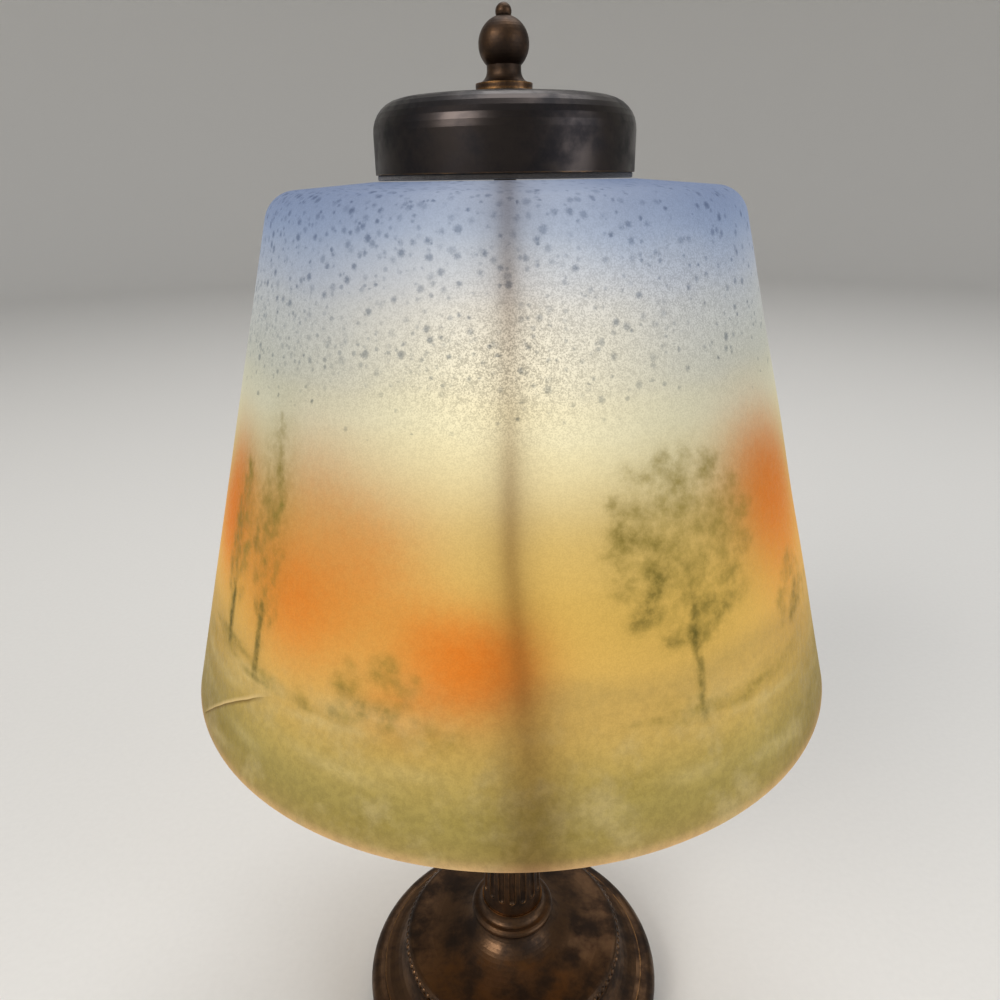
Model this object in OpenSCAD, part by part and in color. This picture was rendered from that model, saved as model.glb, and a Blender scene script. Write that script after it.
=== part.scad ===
// Table lamp with a reverse painted glass shade.
// A cast foot and a fluted column carry a keyed socket, a bulb and a harp, and the harp carries the shade.
// Millimetres, +Z up. The origin is on the table, in the middle of the foot.

/* [Shade] */
// Diameter that the sloping side would have at the level of the rim
shade_d = 203; // [165:1:260]
// Diameter that the sloping side would have at the level of the flat seat
shade_top_d = 125; // [108:1:155]
// Height of the shade from rim to the flat seat at its top
shade_h = 145.5; // [118:0.5:180]
// Thickness of the glass
shade_wall = 3.6; // [2.5:0.1:5]
// Radius of the rounded shoulder, outside
shoulder_r = 9; // [7:0.5:20]
// Fall of the top from the flat seat to the shoulder, in degrees
top_fall = 4.5; // [0:0.5:10]
// Diameter of the hole in the flat seat
shade_hole_d = 40; // [32:1:48]

/* [Heat cap and finial] */
// Diameter of the cap that covers the hole
cap_d = 70; // [60:1:84]
// Height of the cap's upright skirt
cap_skirt_h = 10; // [6:0.5:16]
// Radius of the cap's rounded shoulder
cap_shoulder_r = 8; // [5:0.5:12]
// Rise of the cap's crown above its shoulder
cap_crown_h = 2; // [1:0.25:5]
// Width of the flange that is turned in at the foot of the skirt
cap_flange_w = 4; // [2:0.25:5]
// Thickness of the spun metal of the cap and the shade rest
sheet_t = 1.2; // [0.8:0.1:2]
// Thickness of the felt rings above and below the glass
gasket_t = 1.4; // [0.8:0.1:3]
// Diameter of the vent holes in the cap and the shade rest
vent_d = 4; // [2:0.5:5]
// Number of vent holes in a ring
vent_count = 8; // [4:1:12]
// Height of the finial
finial_h = 20; // [16:0.5:30]
// Diameter of the finial's ball
finial_ball_d = 13.2; // [11:0.2:16]
// Depth of the finial's bore
finial_bore_h = 9; // [6:0.5:10]

/* [Harp] */
// Free height between the bulb's globe and the head of the harp's stud
bulb_room = 4.6; // [3:0.1:30]
// Spacing of the harp's two legs
leg_spacing = 56; // [46:1:68]
// Spacing of the harp's two sides at its widest
bow_spacing = 92; // [76:1:112]
// Diameter of the harp's wire
wire_d = 3.6; // [3:0.1:4.4]
// Lean of the run that carries each leg out to its side
bow_lean = 50; // [40:1:60]
// Radius of the two bends at the top of the harp
top_bend_r = 38; // [30:1:40]
// Thickness of the saddle's strip
saddle_t = 1.6; // [1.2:0.1:2.5]
// Width of the saddle's strip
saddle_w = 8; // [7:0.5:12]
// Length of a locking sleeve
sleeve_l = 14; // [12:0.5:18]
// Travel of a locking sleeve up its leg
sleeve_travel = 12; // [10.5:0.5:16]
// Diameter of the threaded stud that holds shade rest, cap and finial
stud_d = 6.2; // [5:0.1:7.6]

/* [Socket] */
// Height of the socket, cap and shell together
socket_h = 58; // [56:0.5:70]
// Thickness of the sheet brass of cap and shell
shell_t = 0.8; // [0.6:0.1:1]
// Thickness of the fibre liner
liner_t = 0.9; // [0.6:0.1:1.4]
// Height of the porcelain body
body_h = 19; // [18:0.5:24]
// Depth of the well in the body, under the bulb's tip
well_depth = 3; // [2:0.25:4]
// Height of the switch axis above the body's underside
switch_h = 10; // [9:0.25:11]
// Diameter of the switch's shaft
shaft_d = 4; // [3:0.1:4.8]
// Length of the key, from its hub to its tip
key_l = 15; // [12:0.5:20]
// Width of the key's paddle
key_w = 16; // [12:0.5:20]
// Thickness of the key's paddle
key_t = 3.4; // [2.5:0.1:5]
// Free length of the shaft between socket and key
key_gap = 11; // [6:0.5:16]

/* [Bulb] */
// Diameter of the bulb's globe
globe_d = 48; // [40:1:60]
// Height of the globe's middle above the bulb's tip
globe_z = 62; // [60:1:74]
// Thickness of the bulb's glass
bulb_wall = 0.8; // [0.6:0.1:1.2]
// Mean diameter of the bulb's threaded base
thread_d = 25; // [20:0.1:30]
// Pitch of the thread's ridges
thread_pitch = 3.6; // [3:0.1:4.4]
// Depth of a ridge, crest to root
thread_depth = 0.7; // [0.4:0.05:0.8]

/* [Foot and column] */
// Diameter of the foot at its plinth
foot_d = 120; // [100:1:150]
// Height of the foot
foot_h = 42; // [42:1:60]
// Height of the plinth's upright side
plinth_h = 10; // [9:0.5:13]
// Thickness of the casting
foot_wall = 5; // [4:0.25:7]
// Thickness of the felt under the foot
felt_t = 2; // [1:0.25:4]
// Height of the collar between foot and column
collar_h = 8; // [6:0.5:14]
// Height of the fluted column
column_h = 104; // [70:1:160]
// Diameter of the column at its lower end
column_d = 23; // [20:0.5:28]
// Diameter of the column at its upper end
column_top_d = 18; // [17:0.5:22]
// Plain length of the column at each end
column_plain = 7; // [4:0.5:14]
// Number of flutes round the column
flute_count = 16; // [10:1:18]
// Diameter of the tool that cuts a flute
flute_d = 2.6; // [1.6:0.1:3]
// Height of the cup on top of the column
cup_h = 22; // [16:1:32]
// Overhang of the cup's lip beyond its foot
cup_flare = 8; // [4:0.5:14]
// Height of the ring under the saddle
ring_h = 5; // [4:0.5:8]
// Diameter of the ring under the saddle
ring_d = 26; // [22:0.5:34]
// Outside diameter of the lamp pipe
pipe_d = 10; // [9:0.1:12]
// Bore of the lamp pipe, for the leads
pipe_bore_d = 7; // [6.6:0.1:7.6]
// Bore of the cord's bushing
cord_bore_d = 8; // [6:0.1:8.4]

/* [Hidden] */
// Clearances between pieces that slip over each other, that turn on each other, and that turn face to face
slip = 0.15;
turn = 0.1;
seat_gap = 0.2;
// Overrun of a cut, facets of a circle that is drawn, and segments of a quarter arc
over = 1;
round_fn = 96;
fine_fn = 48;
arc_n = 8;

// Bores that slip over the lamp pipe and over the stud
pipe_hole_r = pipe_d / 2 + slip;
stud_hole_r = stud_d / 2 + slip;

// Levels of the stack on the lamp pipe, from the table upwards
foot_z = felt_t;
collar_z = foot_z + foot_h;
column_z = collar_z + collar_h;
cup_z = column_z + column_h;
ring_z = cup_z + cup_h;
saddle_z = ring_z + ring_h;
socket_z = saddle_z + saddle_t;

// Foot: radii of its steps, and the boss that the weight is drawn up against
foot_r = foot_d / 2;
foot_neck_r = pipe_hole_r + 8.85;
foot_step_r = foot_r - 6;
foot_cove_r = 10;
foot_waist_r = foot_step_r - foot_cove_r;
foot_sweep_r = foot_waist_r - 6;
foot_boss_r = 20;
foot_boss_l = 11;
foot_boss_z = foot_h - foot_boss_l;

// Cord inlet: a bushing in a spot face at the back of the plinth
cord_h = 6.8;
bush_wall = 1.2;
bush_barrel_r = cord_bore_d / 2 + bush_wall;
bush_flange_r = bush_barrel_r + 1.3;
bush_flange_t = 2.4;
bush_spot = 0.6;
bush_seat_y = foot_r - bush_spot;
bush_l = foot_wall + 2.6;

// Weight, washer and nut; heights above the foot's underside
ballast_rim_r = foot_r - foot_wall - 5;
ballast_hub_r = foot_boss_r - 2;
ballast_floor = 3;
nut_well_z = 14;
nut_well_r = 22;
washer_t = 1.6;
washer_r = pipe_d / 2 + 6;
nut_h = 5;
nut_r = pipe_d / 2 + 4.2;
pipe_end = nut_well_z - washer_t - nut_h - 1.4;

// Threaded fit of bulb and socket, from the bulb's base outwards to the shell
thread_r = thread_d / 2;
thread_gap = 0.45;
thread_t = 0.5;
thread_bore_r = thread_r + thread_gap;
liner_gap = 0.55;
liner_bore_r = thread_bore_r + thread_depth / 2 + thread_t + liner_gap;
liner_r = liner_bore_r + liner_t;
shell_bore_r = liner_r + slip;
shell_r = shell_bore_r + shell_t;
skirt_bore_r = shell_r + slip;
skirt_r = skirt_bore_r + shell_t;
body_r = liner_bore_r - slip;

// Socket: heights above its underside
neck_wall = 2.35;
neck_r = pipe_hole_r + neck_wall;
neck_h = 9;
flare_h = 4;
skirt_top = 20;
shell_foot = neck_h + flare_h + 0.5;
body_foot = shell_foot + 2.5;
body_top = body_foot + body_h;
setscrew_r = 1.5;
setscrew_h = 3.6;
terminal_h = 6;
terminal_r = 1.5;
terminal_l = 5;
terminal_recess = 3.6;
contact_h = 1.2;

// Switch: a shaft in the body, and a key on its end
shaft_r = shaft_d / 2;
shaft_slot_r = shaft_r + 1.2;
switch_z = socket_z + body_foot + switch_h;
key_x = skirt_r + key_gap;
key_hub_r = shaft_r + 2.2;
key_hub_l = 8;
key_bore_l = 5.5;

// Bulb: its tip rides just above the contact; heights above the tip
bulb_z = socket_z + body_top - well_depth + contact_h + seat_gap;
base_foot = 4;
base_h = 23;
base_t = 0.45;
base_bore_r = thread_r - thread_depth / 2 - base_t;
base_neck_r = thread_r - thread_depth / 2 - 3.85;
bulb_neck_r = base_bore_r - 0.5;
tip_r = 4.2;
tip_bore_r = 3.2;
tip_h = 0.9;
mount_foot = base_foot + 7;
mount_top = globe_z - 20;
filament_half = 11;
filament_h = globe_z + 1;
filament_rise = 6;
filament_r = 0.35;
support_r = 0.4;
support_x = 2.2;
support_foot = mount_top - 9;
support_lean = atan((filament_half - support_x) / (filament_h - support_foot));
support_l = (filament_h - support_foot) / cos(support_lean) - 0.3;

// Harp: levels along a leg, and the pad at its top
leg_y = leg_spacing / 2;
bow_y = bow_spacing / 2;
wire_r = wire_d / 2;
pad_r = 9;
pad_t = wire_d + 0.8;
stud_head_h = 2;
harp_top_z = bulb_z + globe_z + globe_d / 2 + bulb_room + stud_head_h + pad_t;
lap_h = 6;
lap_z = socket_z + 4;
sleeve_bore_r = wire_r + slip;
sleeve_z = socket_z + seat_gap;
leg_end_z = sleeve_z + sleeve_l + sleeve_travel + 1;
bow_bend_r = 0.48 * (bow_y - leg_y) / sin(bow_lean) / tan(bow_lean / 2);
bow_z = leg_end_z + 2 + bow_bend_r * tan(bow_lean / 2);
side_z = bow_z + (bow_y - leg_y) / tan(bow_lean);
wire_top_z = harp_top_z - pad_t / 2;
harp_sides = 16;
sweep_r = (wire_r + 0.06) / cos(180 / harp_sides);

// Leads: two insulated wires from the inlet, through the pipe, to the terminals
lead_r = 1.3;
lead_x = 1.6;
lead_bend_r = 3;
lead_sides = 8;
lead_low_z = foot_z + 2.6;
lead_turn_z = socket_z + neck_h + 4.9;

// Levels of the stack on the harp's stud
rest_z = harp_top_z;
rest_ring_z = rest_z + sheet_t;
glass_z = rest_ring_z + gasket_t + seat_gap;
rim_z = glass_z + shade_wall - shade_h;
shade_top_z = rim_z + shade_h;
cap_ring_z = shade_top_z + seat_gap;
cap_z = cap_ring_z + gasket_t;
cap_h = cap_skirt_h + cap_shoulder_r + cap_crown_h;
finial_z = cap_z + cap_h + seat_gap;

// Shade: its lean from the upright, and the plate whose collar stands in its hole
shade_lean = atan((shade_d - shade_top_d) / 2 / shade_h);
seat_r = cap_d / 2 + 0.5;
rest_r = shade_hole_d / 2 + 10;
rest_collar_r = shade_hole_d / 2 - 0.6;
rest_collar_h = sheet_t + gasket_t + shade_wall - 0.8;
rest_vent_r = (rest_collar_r + stud_hole_r) / 2;
ring_inset = 0.5;

// Points of an elliptic arc in the plane of a profile, from one angle to another
function arc(centre, rx, rz, from, to, n = arc_n) =
    [for (i = [0 : n]) let (a = from + (to - from) * i / n) centre + [rx * cos(a), rz * sin(a)]];

// A list of points read backwards
function backwards(points) = [for (i = [len(points) - 1 : -1 : 0]) points[i]];

// A list of profile points moved by a step
function moved(points, by) = [for (p = points) p + by];

// Radius of the shade's outer slope at a height above its rim
function slope_r(z) = shade_d / 2 - z * tan(shade_lean);

// Points of a thread's ridges along a length, at a mean radius; phase is the height where the first root lies
function ridges(mean_r, length, phase = 0, steps = 8) =
    [for (i = [0 : floor(length / thread_pitch * steps)])
        let (z = i * thread_pitch / steps)
        [mean_r - thread_depth / 2 * cos(360 * (z - phase) / thread_pitch), z]];

// A solid turned from a profile of [radius, height] points
module turned(points) rotate_extrude($fn = round_fn) polygon(points);

// A plain ring
module ring(outer_r, inner_r, h) {
    difference() {
        cylinder(r = outer_r, h = h, $fn = round_fn);
        translate([0, 0, -over]) cylinder(r = inner_r, h = h + 2 * over, $fn = round_fn);
    }
}

// Children repeated round the axis
module around(count) for (i = [0 : count - 1]) rotate(360 * i / count) children();

// A cylinder laid along +X
module along_x(r, h, fn = fine_fn) rotate([0, 90, 0]) cylinder(r = r, h = h, $fn = fn);

// Stations [y, z, heading] of a path in a plane of constant x, from corners [y, z, radius] that are rounded
function heading(from, to) = atan2(to[1] - from[1], to[0] - from[0]);
function corner(before, at, after, step) =
    let (
        h = heading(before, at),
        swing = (heading(at, after) - h + 540) % 360 - 180,
        way = sign(swing),
        setback = at[2] * tan(abs(swing) / 2),
        centre = [at[0], at[1]] - setback * [cos(h), sin(h)] + way * at[2] * [-sin(h), cos(h)],
        n = ceil(abs(swing) / step)
    )
    [for (i = [0 : n]) let (a = h + swing * i / n)
        [centre[0] + way * at[2] * sin(a), centre[1] - way * at[2] * cos(a), a]];
function rounded(c, step) =
    let (last = len(c) - 1)
    concat(
        [[c[0][0], c[0][1], heading(c[0], c[1])]],
        [for (i = [1 : last - 1]) each corner(c[i - 1], c[i], c[i + 1], step)],
        [[c[last][0], c[last][1], heading(c[last - 1], c[last])]]
    );

// A round wire of a radius along a path of stations, as a prism with a number of sides
module wire_sweep(path, r, n) {
    rings = len(path);
    points = [for (s = path, k = [0 : n - 1]) let (a = 360 * k / n)
        [r * cos(a), s[0] - r * sin(a) * sin(s[2]), s[1] + r * sin(a) * cos(s[2])]];
    sides = [for (i = [0 : rings - 2], k = [0 : n - 1]) let (m = (k + 1) % n)
        [i * n + k, i * n + m, (i + 1) * n + m, (i + 1) * n + k]];
    start = [for (k = [n - 1 : -1 : 0]) k];
    end = [for (k = [0 : n - 1]) (rings - 1) * n + k];
    polyhedron(points, concat([start], sides, [end]));
}

// Felt disc glued under the plinth
module felt_pad() color("darkolivegreen") cylinder(r = foot_r - 2, h = felt_t, $fn = round_fn);

// Cast foot: plinth, ovolo, cove, bead and a sweep up to the neck, hollow underneath
module foot() {
    fillet = 1.5;
    bead_r = 2.2;
    bead_step = 1;
    ovolo_r = 4;
    ovolo_top = plinth_h + ovolo_r;
    cove_top = ovolo_top + fillet + foot_cove_r;
    bead_z = cove_top + bead_step + bead_r;
    bead_top = bead_z + bead_r;
    sweep_w = foot_sweep_r - foot_neck_r;
    outline = concat(
        [[foot_r, 0]],
        arc([foot_r - ovolo_r, plinth_h], ovolo_r, ovolo_r, 0, 90),
        [[foot_step_r, ovolo_top]],
        arc([foot_step_r, cove_top], foot_cove_r, foot_cove_r, 270, 180),
        [[foot_waist_r, cove_top + bead_step]],
        arc([foot_waist_r - bead_r, bead_z], bead_r, bead_r, -90, 90),
        arc([foot_sweep_r, foot_h], sweep_w, foot_h - bead_top, 270, 180, 2 * arc_n)
    );
    hollow_r = foot_cove_r + foot_wall;
    hollow = concat(
        [[0, foot_boss_z], [foot_boss_r, foot_boss_z], [foot_sweep_r - bead_step, bead_top - foot_wall]],
        arc([foot_step_r, cove_top], hollow_r, hollow_r, 195, 250),
        [[foot_r - foot_wall, plinth_h - bead_step], [foot_r - foot_wall, -over], [0, -over]]
    );
    color("saddlebrown") translate([0, 0, foot_z]) difference() {
        turned(concat([[0, 0]], outline, [[0, foot_h]]));
        turned(hollow);
        cylinder(r = pipe_hole_r, h = foot_h + over, $fn = round_fn);
        cord_way(bush_barrel_r + slip, bush_seat_y - bush_l - over, foot_r + over);
        cord_way(bush_flange_r + slip, bush_seat_y, foot_r + over);
    }
}

// A round way along +Y at the cord's height, between two distances from the axis
module cord_way(r, from, to)
    translate([0, from, cord_h]) rotate([-90, 0, 0]) cylinder(r = r, h = to - from, $fn = round_fn);

// Iron weight that the nut draws up against the foot's boss, with a way for the leads
module ballast() {
    slope = 5.75;
    rim_top = plinth_h - 1.5;
    knee_r = ballast_rim_r - 10;
    shelf_r = knee_r - 6;
    outline = [
        [pipe_hole_r, nut_well_z], [nut_well_r, nut_well_z], [nut_well_r, ballast_floor],
        [ballast_rim_r, ballast_floor], [ballast_rim_r, rim_top], [knee_r, rim_top + slope],
        [shelf_r, rim_top + 2 * slope], [ballast_hub_r, rim_top + 2 * slope], [ballast_hub_r, foot_boss_z],
        [pipe_hole_r, foot_boss_z]
    ];
    color("dimgray") translate([0, 0, foot_z]) difference() {
        turned(outline);
        translate([-bush_barrel_r, nut_well_r - 7, ballast_floor - over])
            cube([2 * bush_barrel_r, ballast_rim_r, cord_h + bush_barrel_r - ballast_floor + over]);
    }
}

// Steel washer and hex nut that hold the foot and its weight on the pipe
module foot_washer()
    color("silver") translate([0, 0, foot_z + nut_well_z - washer_t]) ring(washer_r, pipe_hole_r, washer_t);

module foot_nut() {
    color("silver") translate([0, 0, foot_z + nut_well_z - washer_t - nut_h]) difference() {
        cylinder(r = nut_r, h = nut_h, $fn = 6);
        translate([0, 0, -over]) cylinder(r = pipe_hole_r, h = nut_h + 2 * over, $fn = round_fn);
    }
}

// Insulating bushing where the cord comes out of the foot
module cord_bushing() {
    color("black") translate([0, 0, foot_z]) difference() {
        union() {
            cord_way(bush_barrel_r, bush_seat_y - bush_l, bush_seat_y + over);
            cord_way(bush_flange_r, bush_seat_y, bush_seat_y + bush_flange_t);
        }
        cord_way(cord_bore_d / 2, bush_seat_y - bush_l - over, bush_seat_y + bush_flange_t + over);
    }
}

// Threaded pipe that runs from the foot's nut into the socket's cap
module lamp_pipe() {
    from = foot_z + pipe_end;
    to = socket_z + neck_h - 1;
    color("goldenrod") translate([0, 0, from]) ring(pipe_d / 2, pipe_bore_d / 2, to - from);
}

// Turned collar with a bead, between foot and column
module stem_collar() {
    bead_r = collar_h / 4;
    bead_x = foot_neck_r + 2.5 - bead_r;
    top_r = column_d / 2 + 0.6;
    color("saddlebrown") translate([0, 0, collar_z]) turned(concat(
        [[pipe_hole_r, 0]],
        arc([bead_x, bead_r], bead_r, bead_r, -90, 90),
        arc([bead_x, collar_h], bead_x - top_r, collar_h - 2 * bead_r, 270, 180),
        [[pipe_hole_r, collar_h]]
    ));
}

// Tapered column with round-ended flutes
module column() {
    lower_r = column_d / 2;
    upper_r = column_top_d / 2;
    taper = atan((lower_r - upper_r) / column_h);
    run = (column_h - 2 * column_plain) / cos(taper);
    flute_r = flute_d / 2;
    start_r = lower_r - column_plain * tan(taper) + flute_r / 3;
    color("saddlebrown") translate([0, 0, column_z]) difference() {
        cylinder(r1 = lower_r, r2 = upper_r, h = column_h, $fn = round_fn);
        translate([0, 0, -over]) cylinder(r = pipe_hole_r, h = column_h + 2 * over, $fn = round_fn);
        around(flute_count) translate([start_r, 0, column_plain]) rotate([0, -taper, 0]) {
            cylinder(r = flute_r, h = run, $fn = fine_fn);
            sphere(r = flute_r, $fn = fine_fn);
            translate([0, 0, run]) sphere(r = flute_r, $fn = fine_fn);
        }
    }
}

// Flared cup on top of the column: a bead, a bell and a rolled lip
module column_cup() {
    bead_r = 1.6;
    lip_r = 1.2;
    lip_in = 0.8;
    bell_r = column_top_d / 2 + 1.2;
    bell_h = cup_h - 2 * lip_r - 2 * bead_r;
    bell_w = cup_flare - lip_in;
    color("saddlebrown") translate([0, 0, cup_z]) turned(concat(
        [[pipe_hole_r, 0]],
        arc([bell_r, bead_r], bead_r, bead_r, -90, 90),
        arc([bell_r + bell_w, 2 * bead_r], bell_w, bell_h, 180, 90, 2 * arc_n),
        arc([bell_r + cup_flare - lip_r, cup_h - lip_r], lip_r, lip_r, -90, 90),
        [[pipe_hole_r, cup_h]]
    ));
}

// Ring with a round edge that the saddle is clamped on
module neck_ring() {
    edge_r = ring_h / 2;
    color("darkgoldenrod") translate([0, 0, ring_z]) turned(concat(
        [[pipe_hole_r, 0]],
        arc([ring_d / 2 - edge_r, edge_r], edge_r, edge_r, -90, 90),
        [[pipe_hole_r, ring_h]]
    ));
}

// Outline of a strip with round ends, along Y
module strip(half_length, width)
    polygon(concat(
        arc([0, half_length], width / 2, width / 2, 0, 180),
        arc([0, -half_length], width / 2, width / 2, 180, 360)
    ));

// An upright run of the harp's wire
module wire_run(y, from, to) translate([0, y, from]) cylinder(r = wire_r, h = to - from, $fn = fine_fn);

// Block that cuts one half off a post or a leg: the outer half (way 1) or the inner half (way -1)
module lap_cut(side, way, from)
    translate([-wire_d, side * leg_y + (side * way > 0 ? -turn / 2 : turn / 2 - 2 * wire_d), from])
        cube([2 * wire_d, 2 * wire_d, lap_h + over]);

// Saddle: a strip clamped under the socket, with an upright post at each end, halved to lock with a leg
module harp_saddle() {
    boss_r = pipe_hole_r + 4.85;
    color("goldenrod") {
        translate([0, 0, saddle_z]) difference() {
            union() {
                linear_extrude(saddle_t) strip(leg_y, saddle_w);
                cylinder(r = boss_r, h = saddle_t, $fn = round_fn);
            }
            translate([0, 0, -over]) cylinder(r = pipe_hole_r, h = saddle_t + 2 * over, $fn = round_fn);
        }
        for (side = [-1, 1]) difference() {
            wire_run(side * leg_y, socket_z - saddle_t / 2, lap_z + lap_h - turn);
            lap_cut(side, 1, lap_z);
        }
    }
}

// Corners of the harp's wire above its straight legs, from the back leg over the top to the front leg
function harp_corners() = [for (side = [1, -1], i = [0 : 3]) let (k = side > 0 ? i : 3 - i) [
    side * (k < 2 ? leg_y : bow_y),
    [leg_end_z, bow_z, side_z, wire_top_z][k],
    [0, bow_bend_r, bow_bend_r, top_bend_r][k]
]];

// Harp: one bent wire with a pad at the top for the stud
module harp() {
    color("goldenrod") difference() {
        union() {
            for (side = [-1, 1]) wire_run(side * leg_y, lap_z + turn, leg_end_z + 1);
            wire_sweep(rounded(harp_corners(), 7), sweep_r, harp_sides);
            translate([0, 0, harp_top_z - pad_t]) cylinder(r = pad_r, h = pad_t, $fn = round_fn);
        }
        translate([0, 0, harp_top_z - pad_t - over])
            cylinder(r = stud_hole_r, h = pad_t + 2 * over, $fn = round_fn);
        for (side = [-1, 1]) lap_cut(side, -1, lap_z - over);
    }
}

// Sleeve with a lip at each end, which slides down over a lap joint and locks it
module sleeve(side) {
    lip = 0.5;
    outer_r = sleeve_bore_r + 1.1;
    lip_points = [[outer_r, 0], [outer_r + lip, lip], [outer_r + lip, 2 * lip], [outer_r, 3 * lip]];
    color("goldenrod") translate([0, side * leg_y, sleeve_z]) turned(concat(
        [[sleeve_bore_r, 0]],
        lip_points,
        moved(lip_points, [0, sleeve_l - 3 * lip]),
        [[sleeve_bore_r, sleeve_l]]
    ));
}

module sleeve_front() sleeve(-1);

module sleeve_back() sleeve(1);

// Stud through the harp's pad, with a riveted head below
module harp_stud() {
    from = harp_top_z - pad_t - stud_head_h;
    color("goldenrod") translate([0, 0, from]) union() {
        cylinder(r = stud_d / 2 + 1.6, h = stud_head_h, $fn = round_fn);
        cylinder(r = stud_d / 2, h = finial_z + finial_bore_h - 0.6 - from, $fn = round_fn);
    }
}

// Shade rest: vented plate on the harp, with a collar that centres the glass
module shade_rest() {
    collar_bore_r = rest_collar_r - sheet_t;
    color("darkgoldenrod") translate([0, 0, rest_z]) difference() {
        turned([
            [stud_hole_r, 0], [rest_r, 0], [rest_r, sheet_t], [rest_collar_r, sheet_t],
            [rest_collar_r, rest_collar_h], [collar_bore_r, rest_collar_h], [collar_bore_r, sheet_t],
            [stud_hole_r, sheet_t]
        ]);
        around(vent_count) translate([rest_vent_r, 0, -over])
            cylinder(r = vent_d / 2, h = sheet_t + 2 * over, $fn = fine_fn);
    }
}

// Felt ring that the glass rests on
module rest_gasket()
    color("tan") translate([0, 0, rest_ring_z])
        ring(rest_r - ring_inset, rest_collar_r + ring_inset, gasket_t);

// Shade: a cone of glass with a round rim, a rounded shoulder and a gently falling top round a flat seat
module shade_glass() {
    edge_r = shade_wall / 2;
    rim_centre = [slope_r(edge_r) - edge_r / cos(shade_lean), edge_r];
    to_top = seat_r * sin(top_fall) + shade_h * cos(top_fall) - shoulder_r;
    to_side = shade_d / 2 * cos(shade_lean) - shoulder_r;
    shoulder = [
        cos(top_fall) * to_side - sin(shade_lean) * to_top,
        cos(shade_lean) * to_top - sin(top_fall) * to_side
    ] / cos(top_fall + shade_lean);
    inner_r = shoulder_r - shade_wall;
    inner_seat_r = seat_r - shade_wall * tan(top_fall / 2);
    hole_r = shade_hole_d / 2;
    color("lightsteelblue") translate([0, 0, rim_z]) turned(concat(
        arc(rim_centre, edge_r, edge_r, shade_lean, shade_lean - 180),
        arc(shoulder, inner_r, inner_r, shade_lean, 90 - top_fall),
        [[inner_seat_r, shade_h - shade_wall], [hole_r, shade_h - shade_wall]],
        [[hole_r, shade_h], [seat_r, shade_h]],
        arc(shoulder, shoulder_r, shoulder_r, 90 - top_fall, shade_lean)
    ));
}

// Felt ring between glass and heat cap
module cap_gasket()
    color("tan") translate([0, 0, cap_ring_z])
        ring(cap_d / 2 - ring_inset, cap_d / 2 - cap_flange_w - ring_inset, gasket_t);

// Heat cap: spun cover with an upright skirt, a rounded shoulder and a vented crown
module heat_cap() {
    outer_r = cap_d / 2;
    crown_r = outer_r - cap_shoulder_r;
    inner_round = cap_shoulder_r - sheet_t;
    boss_r = stud_hole_r + 5.75;
    boss_h = 0.6;
    color("darkslategray") translate([0, 0, cap_z]) difference() {
        turned(concat(
            [[outer_r, 0]],
            arc([crown_r, cap_skirt_h], cap_shoulder_r, cap_shoulder_r, 0, 90),
            [[boss_r, cap_h - boss_h], [boss_r, cap_h], [stud_hole_r, cap_h]],
            [[stud_hole_r, cap_h - sheet_t - boss_h], [boss_r, cap_h - sheet_t - boss_h]],
            arc([crown_r, cap_skirt_h], inner_round, inner_round, 90, 0),
            [[outer_r - sheet_t, sheet_t], [outer_r - cap_flange_w, sheet_t], [outer_r - cap_flange_w, 0]]
        ));
        around(vent_count) translate([(crown_r + boss_r) / 2, 0, cap_skirt_h + inner_round - over])
            cylinder(r = vent_d / 2, h = cap_crown_h + sheet_t + 2 * over, $fn = fine_fn);
    }
}

// Turned finial that screws onto the stud: flange, cove, ball and knob
module finial() {
    ball_r = finial_ball_d / 2;
    knob_r = 2.1;
    knob_from = -30;
    flange_h = 1.6;
    flange_r = ball_r + 0.9;
    waist_r = stud_d / 2 + turn + 1.3;
    cove_r = flange_r - waist_r;
    ball_from = -acos(waist_r / ball_r);
    ball_to = acos(knob_r * cos(knob_from) / ball_r) - 4;
    ball_z = finial_h - knob_r + knob_r * sin(knob_from) - ball_r * sin(ball_to);
    bore_r = stud_d / 2 + turn;
    color("darkgoldenrod") translate([0, 0, finial_z]) turned(concat(
        [[bore_r, 0], [flange_r, 0]],
        arc([flange_r, flange_h + cove_r], cove_r, cove_r, 270, 180),
        arc([0, ball_z], ball_r, ball_r, ball_from, ball_to, 2 * arc_n),
        arc([0, finial_h - knob_r], knob_r, knob_r, knob_from, 90),
        [[0, finial_bore_h], [bore_r, finial_bore_h]]
    ));
}

// Socket cap: a neck that screws onto the pipe, a flare and a skirt that takes the shell
module socket_cap() {
    flare_z = neck_h - 2;
    flare_w = skirt_r - neck_r;
    bore_w = skirt_bore_r - neck_r + 1.1;
    color("goldenrod") translate([0, 0, socket_z]) difference() {
        turned(concat(
            [[pipe_hole_r, 0], [neck_r, 0]],
            arc([skirt_r, flare_z], flare_w, flare_h + 1, 180, 90),
            [[skirt_r, skirt_top], [skirt_bore_r, skirt_top]],
            arc([skirt_bore_r, neck_h], bore_w, flare_h, 90, 180),
            [[pipe_hole_r, neck_h]]
        ));
        setscrew_way(setscrew_r + slip, neck_r + over);
    }
}

// A round way along -X from the pipe outwards, at the set screw's height
module setscrew_way(r, reach)
    translate([turn - pipe_hole_r, 0, setscrew_h]) rotate(180) along_x(r, reach - pipe_hole_r + turn);

// Slotted screw that stops the socket from turning on the pipe
module cap_setscrew() {
    reach = neck_r + 2.2;
    slot_w = 0.6;
    slot_depth = 0.9;
    color("silver") translate([0, 0, socket_z]) difference() {
        setscrew_way(setscrew_r, reach);
        translate([-reach - over, -slot_w / 2, setscrew_h - setscrew_r - over])
            cube([slot_depth + over, slot_w, 2 * (setscrew_r + over)]);
    }
}

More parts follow.
